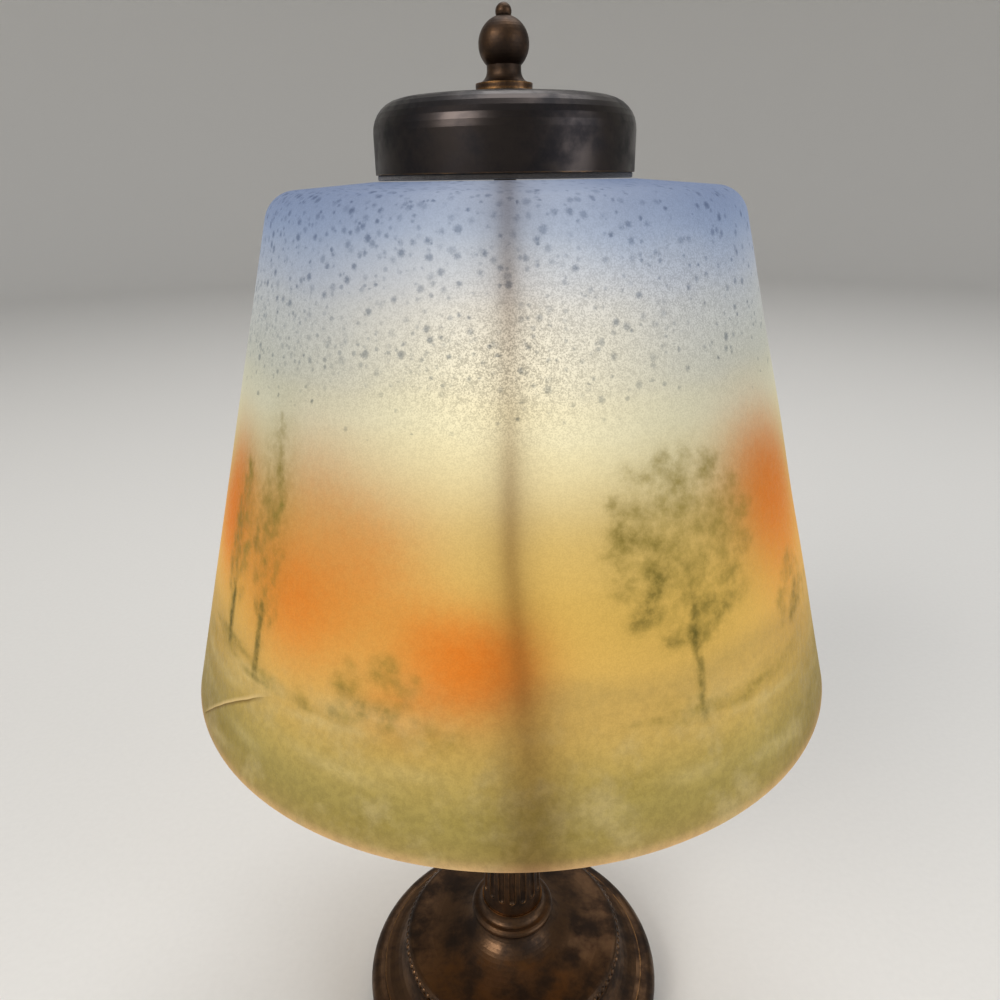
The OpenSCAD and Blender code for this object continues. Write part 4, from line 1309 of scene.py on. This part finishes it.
@dataclass(frozen=True)
class Landscape:
    """The painting: a meadow with trees at sunset. It gives masks at points of the glass, among them painted
    shade: the glow dimming away from the bulb's bright spots, and the harp's shadow.

    A sunset glow has its turn and its width in degrees, and its level and its height in millimetres. The
    other levels, and the widths of the harp's shadow, are in millimetres too.
    """

    seed: int = 11
    trees: tuple[PaintedTree, ...] = (
        PaintedTree(-44, 33, 62, 17, Crown.SLENDER), PaintedTree(-54, 36, 48, 14, Crown.SLENDER),
        PaintedTree(-19, 31, 18, 36, Crown.BUSH), PaintedTree(29, 31, 60, 44, Crown.ROUND),
        PaintedTree(57, 38, 18, 28, Crown.BUSH), PaintedTree(90, 33, 56, 42, Crown.ROUND),
        PaintedTree(123, 33, 62, 17, Crown.SLENDER), PaintedTree(133, 36, 46, 14, Crown.SLENDER),
        PaintedTree(160, 33, 18, 38, Crown.BUSH), PaintedTree(-162, 32, 60, 44, Crown.ROUND),
        PaintedTree(-128, 36, 16, 30, Crown.BUSH), PaintedTree(-98, 33, 56, 40, Crown.ROUND),
    )
    sunsets: tuple[tuple[float, float, float, float], ...] = (
        (-34, 64, 15, 19), (-60, 62, 10, 18), (-8, 47, 10, 12), (52, 66, 14, 20), (98, 62, 18, 17),
        (146, 66, 20, 18), (-174, 60, 15, 15), (-132, 66, 20, 19), (-88, 58, 12, 15),
    )
    glow_dabs: int = 7
    ground_dabs: int = 120
    ridge: float = 42
    hill_foot: float = 28
    specks_from: float = 96
    stipple_level: float = 112
    sand_level: float = 110
    high_sand_level: float = 124
    dim_from: float = 48
    bright_width: float = math.radians(27)
    glare_level: float = 107
    shadow_core: float = 2.4
    shadow_wide: float = 6.5
    shadow_spread: float = 2.5
    shadow_off: float = 0.4
    shadow_drift: float = 4.4

    def masks(self, points: GlassPoints) -> dict[str, np.ndarray]:
        """Paints every point.

        Args:
            points: the points.

        Returns:
            Masks by name, from 0 to 1.
        """
        turn, rise = points.turn, points.rise
        masks = self.brushwork(points)
        ridge = (self.ridge + 5 * np.sin(3 * turn + 0.6) + 3 * np.sin(7 * turn + 2.0)) * MM
        masks["hill"] = 0.5 * climb(rise, ridge, -5 * MM) * climb(rise, self.hill_foot * MM, 12 * MM)
        masks["specks"] = climb(rise, self.specks_from * MM, 40 * MM) ** 1.1 * (0.75 - 0.38 * np.sin(turn))
        masks["stipple"] = hump(rise, self.stipple_level * MM, 9 * MM) * (0.5 - 0.4 * np.sin(2 * turn))
        # The sand masks mark where the frosting's grain catches the bulb's light: painted glints on real
        # grain.
        band = hump(rise, self.sand_level * MM, 13 * MM) * (0.24 + 0.76 * hump(turn, 0.0, 0.25))
        higher = hump(rise, self.high_sand_level * MM, 11 * MM) * (0.2 + 0.2 * np.sin(3 * turn - 0.4))
        masks["sand"] = np.clip(band + higher, 0, 1)
        masks["away"] = self.away(points)
        masks["shadow"] = self.shadow(points)
        return masks

    def brushwork(self, points: GlassPoints) -> dict[str, np.ndarray]:
        """Paints the trees, the sunset and dabs of dark and pale grass, in this order.

        Args:
            points: the points.

        Returns:
            Masks of leaves, dark leaves, sunset and pale grass.
        """
        draw = np.random.default_rng(self.seed)
        rise = points.rise
        bare = {name: np.ones_like(rise) for name in ("leaf", "leaf_dark", "sunset", "pale")}
        for tree in self.trees:
            across, up = points.apart(tree.turn) * points.radius, rise - tree.foot * MM
            near = np.abs(across) < tree.width * MM + 12 * MM
            near &= (up > -12 * MM) & (up < tree.height * MM + 10 * MM)
            for dab in tree.dabs(draw):
                cover = dab.cover(across[near], up[near])
                bare["leaf"][near] *= 1 - cover
                bare["leaf_dark"][near] *= 1 - cover * dab.dark
        for degrees, level, width, height in self.sunsets:
            for _ in range(self.glow_dabs):
                across = points.apart(degrees + draw.normal(0, 0.42) * width) / math.radians(0.72 * width)
                up = (rise - level * MM - draw.normal(0, 0.42) * (height * MM)) / (0.72 * (height * MM))
                bare["sunset"] *= 1 - draw.uniform(0.28, 0.46) * np.exp(-across ** 2 - up ** 2)
        for _ in range(self.ground_dabs):
            degrees, level = draw.uniform(-180, 180), draw.uniform(5, 34) * MM
            across, up = points.apart(degrees) * points.radius, rise - level
            dab = Dab(0.0, 0.0, draw.uniform(6, 17) * MM, draw.uniform(1.2, 2.8) * MM,
                      draw.uniform(-0.2, 0.2), draw.uniform(0.08, 0.26))
            near = (np.abs(across) < 45 * MM) & (np.abs(up) < 12 * MM)
            kind = "leaf" if draw.uniform() < 0.6 else "pale"
            bare[kind][near] *= 1 - dab.cover(across[near], up[near])
        return {name: 1 - value for name, value in bare.items()}

    def away(self, points: GlassPoints) -> np.ndarray:
        """Painted shade: how far points are from the bright spots before the broad sides of the filament,
        where the glow dims.
        """
        bright = hump(points.side(), 0.0, self.bright_width)
        return climb(points.rise, self.dim_from * MM, 58 * MM) * (1 - bright)

    def shadow(self, points: GlassPoints) -> np.ndarray:
        """The harp's painted shadow down the front and the back, and painted shade on the flanks low down.

        Args:
            points: the points.

        Returns:
            The shadow's mask: a soft stripe that widens and drifts lower down.
        """
        rise = points.rise
        # Painted shade on the low flanks, away from the front and the back.
        flank = climb(points.side(), math.radians(40), math.radians(18))
        total = 0.3 * flank * climb(rise, 52 * MM, -30 * MM)
        low = climb(rise, 70 * MM, -52 * MM)
        glare = 1 - 0.36 * hump(rise, self.glare_level * MM, 13 * MM)
        for middle in (0.0, math.pi):
            off = np.sin(points.turn - middle) * points.radius
            off -= (self.shadow_off + self.shadow_drift * low) * MM
            facing = np.cos(points.turn - middle) > 0
            core = 0.26 * (1 - low) * hump(off, 0.0, self.shadow_core * MM)
            wide = (0.27 + 0.25 * low) * hump(off, 0.0, (self.shadow_wide + self.shadow_spread * low) * MM)
            total += facing * glare * (core + wide)
        return total


def vectors(items: Ports, name: str) -> np.ndarray:
    """A vector of each point or face of a mesh, one to a row.

    Args:
        items: the points or faces.
        name: the vector's name.

    Returns:
        The rows.
    """
    flat = np.empty(len(items) * 3)
    items.foreach_get(name, flat)
    return flat.reshape(-1, 3)


@dataclass
class PaintedShade:
    """The glass shade, with its painting, its frosting and one old crack."""

    rim_d: float = 203 * MM
    top_d: float = 125 * MM
    wall: float = 3.6 * MM
    shoulder_r: float = 9 * MM
    top_fall: float = math.radians(4.5)
    seat_r: float = 35.5 * MM
    hole_d: float = 40 * MM
    columns: int = 560
    rows: int = 100
    inner_rows: int = 22
    top_rows: tuple[int, int] = (4, 5)
    under_rows: int = 3
    bend_rows: int = 12
    inner_bend_rows: int = 8
    edge_rows: int = 10
    inward: float = 0.2
    downward: float = 0.9
    waviness: float = 0.12 * MM
    waves: tuple[int, int] = (5, 9)
    wave_twist: float = 40.0
    wave_start: float = 1.0
    glow_outside: float = 0.84
    glow_inside: float = 0.9

    def outline(self, rim: float, top: float) -> Outline:
        """The wall's outline: top, shoulder and slope outside, the rim's round edge, then back inside.

        Args:
            rim, top: the heights of the rim and of the flat top.

        Returns:
            Radii and heights.
        """
        height, hole, edge = top - rim, self.hole_d / 2, self.wall / 2
        lean = math.atan((self.rim_d - self.top_d) / 2 / height)
        fall, round_r = self.top_fall, self.shoulder_r
        foot = (self.rim_d / 2 - edge * math.tan(lean) - edge / math.cos(lean), rim + edge)
        to_top = self.seat_r * math.sin(fall) + height * math.cos(fall) - round_r
        to_side = self.rim_d / 2 * math.cos(lean) - round_r
        bend = ((math.cos(fall) * to_side - math.sin(lean) * to_top) / math.cos(fall + lean),
                rim + (math.cos(lean) * to_top - math.sin(fall) * to_side) / math.cos(fall + lean))
        outer_bend = arc(bend, round_r, QUARTER - fall, lean, self.bend_rows)
        edge_arc = arc(foot, edge, lean, lean - math.pi, self.edge_rows)
        inner_bend = arc(bend, round_r - self.wall, lean, QUARTER - fall, self.inner_bend_rows)
        lip, lip_under = (hole, top), (hole, top - self.wall)
        seat, under = (self.seat_r, top), (self.seat_r - self.wall * math.tan(fall / 2), top - self.wall)
        return [
            lip, *run(lip, seat, self.top_rows[0]), seat,
            *run(seat, outer_bend[0], self.top_rows[1]), *outer_bend,
            *run(outer_bend[-1], edge_arc[0], self.rows), *edge_arc,
            *run(edge_arc[-1], inner_bend[0], self.inner_rows), *inner_bend,
            *run(inner_bend[-1], under, self.under_rows), under,
            *run(under, lip_under, self.under_rows), lip_under,
        ]

    def build(self) -> None:
        """Makes the shade's mesh, paints its masks and dresses it."""
        low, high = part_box("shade_glass")
        rim, top = low.z, high.z
        outer = PaintedGlass("Frosted glass", rim, top - rim, True, self.glow_outside)
        inner = PaintedGlass("Paint inside the glass", rim, top - rim, False, self.glow_inside)
        mesh = turned("shade", outer, self.outline(rim, top), self.columns)
        mesh.materials.append(inner.material())
        place = vectors(mesh.vertices, "co")
        points = GlassPoints(np.arctan2(place[:, 0], -place[:, 1]), place[:, 2] - rim,
                             np.hypot(place[:, 0], place[:, 1]))
        for name, values in Landscape().masks(points).items():
            mesh.attributes.new(name, "FLOAT", "POINT").data.foreach_set("value", values.astype(np.float32))
        mesh.polygons.foreach_set("material_index", self.inner_faces(mesh).astype(np.int32))
        wave = np.sin(self.waves[0] * points.turn + self.wave_twist * points.rise / top)
        wave *= np.sin(self.waves[1] * points.turn - self.wave_start)
        wave *= np.sin(np.pi * np.clip(points.rise / (top - rim), 0, 1))
        place[:, :2] *= (1 + self.waviness * wave / points.radius)[:, None]
        mesh.vertices.foreach_set("co", place.ravel())
        mesh.update()
        piece(mesh, Body.SHADE, Slot.PAINTED_GLASS, "shade_glass")

    def inner_faces(self, mesh: Mesh) -> np.ndarray:
        """Which faces look inwards or down, where the paint is.

        Args:
            mesh: the shade's mesh.

        Returns:
            True for each of them.
        """
        normal, centre = vectors(mesh.polygons, "normal"), vectors(mesh.polygons, "center")
        facing = normal[:, 0] * centre[:, 0] + normal[:, 1] * centre[:, 1]
        radius = np.hypot(centre[:, 0], centre[:, 1])
        return (facing < -self.inward * radius) | (normal[:, 2] < -self.downward)


@dataclass
class Harp:
    """The bent wire harp with its pad, saddle, sleeves and stud."""

    wire_d: float = 3.6 * MM
    wire_sides: int = 24
    bend_steps: int = 14
    leg_y: float = 28 * MM
    bow_y: float = 46 * MM
    lean: float = math.radians(50)
    bend_share: float = 0.48
    top_bend: float = 38 * MM
    pad_r: float = 9 * MM
    pad_t: float = 4.4 * MM
    pad_edge: float = 1.1 * MM
    pad_columns: int = 64
    edge_rows: int = 5
    stud_hole_r: float = 3.25 * MM
    lap_h: float = 6 * MM
    lap_gap: float = 0.1 * MM
    lap_points: int = 13
    lap_over_saddle: float = 4.1 * MM
    leg_top_over_saddle: float = 29.2 * MM

    def build(self) -> None:
        """Makes the wire and its pad, and dresses the fittings."""
        low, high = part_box("harp")
        wire_top = high.z - self.pad_t / 2
        lap_top = low.z + self.lap_h - self.lap_gap
        saddle_top = low.z - self.lap_over_saddle
        half_lean = math.tan(self.lean / 2)
        bend = self.bend_share * (self.bow_y - self.leg_y) / math.sin(self.lean) / half_lean
        bow_z = saddle_top + self.leg_top_over_saddle + bend * half_lean
        side_z = bow_z + (self.bow_y - self.leg_y) / math.tan(self.lean)
        half = [(self.leg_y, lap_top, 0.0), (self.leg_y, bow_z, bend), (self.bow_y, side_z, bend),
                (self.bow_y, wire_top, self.top_bend)]
        corners = half + [(-y, z, r) for y, z, r in reversed(half)]
        wire = swept("harp_wire", WIRE_BRASS, [(0.0, y, z) for y, z, _ in corners],
                     [r for _, _, r in corners], self.wire_d / 2, self.wire_sides, self.bend_steps)
        meshes = [wire, self.pad(high.z)] + [self.tongue(side, low.z, lap_top) for side in (-1, 1)]
        piece(joined("harp_wire_and_pad", meshes), Body.STAND, Slot.BRASS, "harp")
        dress_nodes(WIRE_BRASS, "harp_saddle", "harp_stud")
        dress_nodes(BRASS, "sleeve_front", "sleeve_back")

    def pad(self, top: float) -> Mesh:
        """The flattened pad at the top, with rounded edges and the stud's hole.

        Args:
            top: the height of its upper face.

        Returns:
            The pad's mesh.
        """
        edge, low = self.pad_edge, top - self.pad_t
        r = self.pad_r - edge
        outline = [
            (self.stud_hole_r, low), *arc((r, low + edge), edge, -QUARTER, 0, self.edge_rows),
            *arc((r, top - edge), edge, 0, QUARTER, self.edge_rows), (self.stud_hole_r, top),
        ]
        return turned("harp_pad", WIRE_BRASS, outline, self.pad_columns)

    def tongue(self, side: int, low: float, high: float) -> Mesh:
        """The halved end of a leg, which locks with the saddle's post.

        Args:
            side: -1 for the front leg, 1 for the back leg.
            low, high: the heights of its ends.

        Returns:
            The tongue's mesh.
        """
        radius = self.wire_d / 2
        start = math.asin(self.lap_gap / 2 / radius)
        angles = np.linspace(start, math.pi - start, self.lap_points)
        ring = [(radius * math.cos(a), side * (self.leg_y + radius * math.sin(a))) for a in angles]
        work = bmesh.new()
        floor, roof = ([work.verts.new((x, y, z)) for x, y in ring] for z in (low, high))
        work.faces.new(floor)
        work.faces.new(roof)
        for i in range(len(ring)):
            work.faces.new((floor[i - 1], floor[i], roof[i], roof[i - 1]))
        bmesh.ops.recalc_face_normals(work, faces=work.faces)
        return kept(work, "harp_tongue")


@dataclass
class FootAndColumn:
    """The cast foot with its felt, weight and inlet, and the fluted column."""

    felt_edge: float = 0.7 * MM
    felt_bulge: float = 0.2
    felt_rows: int = 14
    edge_rows: int = 4
    felt_columns: int = 160
    felt_fill: float = 0.95
    pearl_r: float = 1.35 * MM
    pearl_ring: float = 43.4 * MM
    pearl_level: float = 28.7 * MM
    pearl_count: int = 96
    reed: tuple[float, float, float] = (0.5 * MM, 0.42 * MM, 1.7 * MM)
    reed_sunk: float = 0.12 * MM
    reed_count: int = 72

    def build(self) -> None:
        """Makes the felt and the ornament, and dresses the castings."""
        low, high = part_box("felt_pad")
        edge, flat = self.felt_edge, high.x - self.felt_edge
        outline = [
            (0.0, low.z), *run((0.0, low.z), (flat, low.z), self.felt_rows),
            *arc((flat, low.z + edge), edge, -NEAR_QUARTER, self.felt_bulge, self.edge_rows),
            *arc((flat, high.z - edge), edge, 0.0, NEAR_QUARTER, self.edge_rows),
            *run((flat, high.z), (0.0, high.z), self.felt_rows), (0.0, high.z),
        ]
        mesh = turned("felt_under_foot", FELT, outline, self.felt_columns)
        piece(mesh, Body.STAND, Slot.FELT, "felt_pad")
        foot_low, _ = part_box("foot")
        pearls = beaded("foot_pearls", BRONZE, self.pearl_count, self.pearl_ring,
                        foot_low.z + self.pearl_level, (self.pearl_r, self.pearl_r, self.pearl_r))
        piece(pearls, Body.STAND, Slot.BRONZE)
        ring_low, ring_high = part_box("neck_ring")
        reeds = beaded("ring_reeds", BRASS, self.reed_count, ring_high.x - self.reed_sunk,
                       (ring_low.z + ring_high.z) / 2, self.reed)
        piece(reeds, Body.STAND, Slot.BRASS)
        dress_nodes(BRONZE, "foot", "stem_collar", "column", "column_cup")
        dress_nodes(IRON, "ballast")
        dress_nodes(STEEL, "foot_washer", "foot_nut")
        dress_nodes(RESIN, "cord_bushing")
        dress_nodes(BRASS, "lamp_pipe", "neck_ring")


@dataclass
class CapAndRest:
    """The shade rest, its felt rings, the heat cap and the finial."""

    felt_edge: float = 0.45 * MM
    edge_rows: int = 4
    felt_columns: int = 128
    felt_fill: float = 0.9
    width_below: float = 9.6 * MM
    width_above: float = 4 * MM

    def build(self) -> None:
        """Makes the felt rings and dresses the metal."""
        for name, node, width in (("felt_ring_below", "rest_gasket", self.width_below),
                                  ("felt_ring_above", "cap_gasket", self.width_above)):
            low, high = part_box(node)
            edge = self.felt_edge
            inner, outer = high.x - width + edge, high.x - edge
            corners = ((inner, low.z + edge, math.pi, 3 * QUARTER), (outer, low.z + edge, -QUARTER, 0),
                       (outer, high.z - edge, 0, QUARTER), (inner, high.z - edge, QUARTER, math.pi))
            outline = [point for r, z, start, end in corners
                       for point in arc((r, z), edge, start, end, self.edge_rows)]
            mesh = turned(name, RING_FELT, outline, self.felt_columns)
            piece(mesh, Body.STAND, Slot.FELT_RING, node)
        dress_nodes(BRASS, "shade_rest")
        dress_nodes(CAP_BRONZE, "heat_cap")
        dress_nodes(BRONZE, "finial")


@dataclass
class Socket:
    """The keyed socket and its wiring."""

    lead_r: float = 1.3 * MM
    lead_sides: int = 14
    lead_x: float = 1.6 * MM
    lead_bend: float = 3 * MM
    bend_steps: int = 8
    cord_z: float = 8.8 * MM
    dip_y: float = 40 * MM
    dip_l: float = 6 * MM
    end_rise: float = 4.7 * MM

    def build(self) -> None:
        """Makes the leads and dresses the rest."""
        low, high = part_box("lead_wires")
        low_z, end_z = low.z + self.lead_r, high.z
        turn_z = end_z - self.end_rise
        meshes = []
        for side in (-1, 1):
            end_y = side * (-low.y - self.lead_r)
            route = [(high.y, self.cord_z), (self.dip_y, self.cord_z), (self.dip_y - self.dip_l, low_z),
                     (0.0, low_z), (0.0, turn_z), (end_y, turn_z), (end_y, end_z)]
            bends = [0.0, *[self.lead_bend] * (len(route) - 2), 0.0]
            meshes.append(swept(f"lead_{side}", BRAID, [(side * self.lead_x, y, z) for y, z in route], bends,
                                self.lead_r, self.lead_sides, self.bend_steps))
        piece(joined("braided_leads", meshes), Body.STAND, Slot.CLOTH_WIRE, "lead_wires")
        dress_nodes(BRASS, "socket_cap", "socket_shell", "screw_shell", "centre_contact", "switch_shaft")
        dress_nodes(STEEL, "cap_setscrew", "terminal_screws")
        dress_nodes(FIBRE, "socket_liner")
        dress_nodes(PORCELAIN, "socket_body")
        dress_nodes(RESIN, "switch_key")


@dataclass
class Bulb:
    """The frosted bulb, lit, with its coiled filament."""

    coil_r: float = 0.27 * MM
    strand_r: float = 0.08 * MM
    strand_sides: int = 6
    turns: int = 46
    steps: int = 12
    half_width: float = 11 * MM
    arch: float = 6 * MM
    glow_reach: float = 1.8

    def build(self) -> None:
        """Makes the filament and dresses the bulb."""
        _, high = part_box("bulb_glass")
        globe_r = high.x
        frost = LitFrost("Lit frosted glass", high.z - globe_r, globe_r * self.glow_reach)
        dress_nodes(frost, "bulb_glass")
        dress_nodes(BRASS, "bulb_base")
        dress_nodes(DARK_GLASS, "bulb_insulator")
        dress_nodes(STEEL, "bulb_contact")
        dress_nodes(CLEAR_GLASS, "bulb_mount")
        _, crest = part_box("filament")
        radius = (self.half_width ** 2 + self.arch ** 2) / (2 * self.arch)
        spread = math.asin(self.half_width / radius)
        centre_z = crest.z - self.coil_r - self.strand_r - radius
        points = []
        for share in np.linspace(0, 1, self.turns * self.steps + 1):
            along, twist = spread * (2 * share - 1), TAU * self.turns * share
            out = radius + self.coil_r * math.cos(twist)
            points.append((out * math.sin(along), self.coil_r * math.sin(twist),
                           centre_z + out * math.cos(along)))
        coil = swept("coiled_filament", HOT_WIRE, points, [0.0] * len(points), self.strand_r,
                     self.strand_sides, 1)
        piece(coil, Body.BULB, Slot.TUNGSTEN, "filament")


@dataclass(frozen=True)
class SoftLight:
    """A square of soft light: its place and size in metres, its power in watts and its tint."""

    name: str
    place: tuple[float, float, float]
    size: float
    power: float
    tint: Colour

    def hang(self, aim: Vector) -> None:
        """Adds the light.

        Args:
            aim: the point that it looks at.
        """
        light = bpy.data.lights.new(self.name, "AREA")
        light.size = self.size
        light.energy = self.power
        light.color = self.tint
        holder = linked(self.name, light)
        holder.location = self.place
        holder.rotation_euler = (aim - Vector(self.place)).to_track_quat("-Z", "Y").to_euler()


@dataclass
class Studio:
    """A pale sweep of paper, soft light, and the camera where the photograph was taken from."""

    camera_distance: float = 227.9 * MM
    camera_over_rim: float = 145.5 * MM
    pitch: float = math.radians(22.68)
    yaw: float = math.radians(-0.67)
    roll: float = math.radians(-0.83)
    focal_share: float = 0.765
    sensor: float = 36.0
    near_clip: float = 0.01
    aim_z: float = 0.2
    lights: tuple[SoftLight, ...] = (
        SoftLight("key", (-1.2, -1.3, 1.3), 1.0, 24.0, (1.0, 0.97, 0.93)),
        SoftLight("fill", (1.5, -0.8, 0.8), 0.9, 10.0, (0.93, 0.96, 1.0)),
        SoftLight("top", (0.2, 0.6, 2.0), 1.4, 18.0, (1.0, 1.0, 1.0)),
    )
    room: Colour = (0.92, 0.95, 1.0)
    room_strength: float = 0.28
    floor_rings: tuple[float, float] = (0.02, 0.6)
    floor_r: float = 2.6
    floor_bend: float = 0.9
    wall_top: float = 3.4
    sweep_columns: int = 96
    bend_rows: int = 20
    paper_grain: float = 3 * MM
    paper_rough: float = 0.9
    paper_colours: tuple[Colour, Colour] = (display(222, 220, 216), display(228, 226, 222))

    def build(self) -> None:
        """Adds the camera, the paper, the lights and the room's own light."""
        self.camera()
        self.paper()
        for light in self.lights:
            light.hang(Vector((0.0, 0.0, self.aim_z)))
        world = bpy.data.worlds.new("Room")
        world.use_nodes = True
        room = world.node_tree.nodes["Background"]
        room.inputs["Color"].default_value = opaque(self.room)
        room.inputs["Strength"].default_value = self.room_strength
        bpy.context.scene.world = world
        bpy.context.scene.view_settings.view_transform = "Standard"

    def camera(self) -> None:
        """Adds the camera, turned by yaw, pitch and roll from a level look along +Y."""
        low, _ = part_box("shade_glass")
        ahead = Vector((math.sin(self.yaw) * math.cos(self.pitch), math.cos(self.yaw) * math.cos(self.pitch),
                        -math.sin(self.pitch)))
        right = Vector((math.cos(self.yaw), -math.sin(self.yaw), 0.0))
        up = right.cross(ahead)
        tilted = right * math.cos(self.roll) + up * math.sin(self.roll)
        upright = up * math.cos(self.roll) - right * math.sin(self.roll)
        lens = bpy.data.cameras.new("Photograph")
        lens.sensor_width = self.sensor
        lens.lens = self.focal_share * self.sensor
        lens.clip_start = self.near_clip
        holder = linked("Photograph", lens)
        turn = Matrix((tilted, upright, -ahead)).transposed().to_4x4()
        spot = (0.0, -self.camera_distance, low.z + self.camera_over_rim)
        holder.matrix_world = Matrix.Translation(spot) @ turn
        bpy.context.scene.camera = holder

    def paper(self) -> None:
        """Adds the sweep: a round level floor that curves up into a wall on all sides."""
        bend, columns = self.floor_bend, self.sweep_columns
        side = [*[(r, 0.0) for r in self.floor_rings],
                *arc((self.floor_r, bend), bend, -QUARTER, 0.0, self.bend_rows),
                (self.floor_r + bend, self.wall_top)]
        turns = [(math.cos(a), math.sin(a)) for a in np.linspace(0, TAU, columns, endpoint=False)]
        work = bmesh.new()
        rows = [[work.verts.new((r * x, r * y, z)) for x, y in turns] for r, z in side]
        work.faces.new(rows[0])
        for near, far in zip(rows, rows[1:]):
            for i in range(columns):
                work.faces.new((near[i - 1], far[i - 1], far[i], near[i])).smooth = True
        mesh = kept(work, "paper_sweep")
        paper = bpy.data.materials.new("Pale paper")
        g = Surface(paper)
        g.show(Base_Color=g.mix(g.noise(g.place(), self.paper_grain, 4), *self.paper_colours),
               Roughness=self.paper_rough)
        mesh.materials.append(paper)
        linked("paper_sweep", mesh)


def main() -> None:
    """Builds the studio and every sub-assembly."""
    logging.basicConfig(level=logging.INFO, format="%(name)s: %(message)s")
    for part in (Studio(), PaintedShade(), Harp(), CapAndRest(), Socket(), Bulb(), FootAndColumn()):
        log.info("building %s", type(part).__name__)
        part.build()


if __name__ == "__main__":
    main()
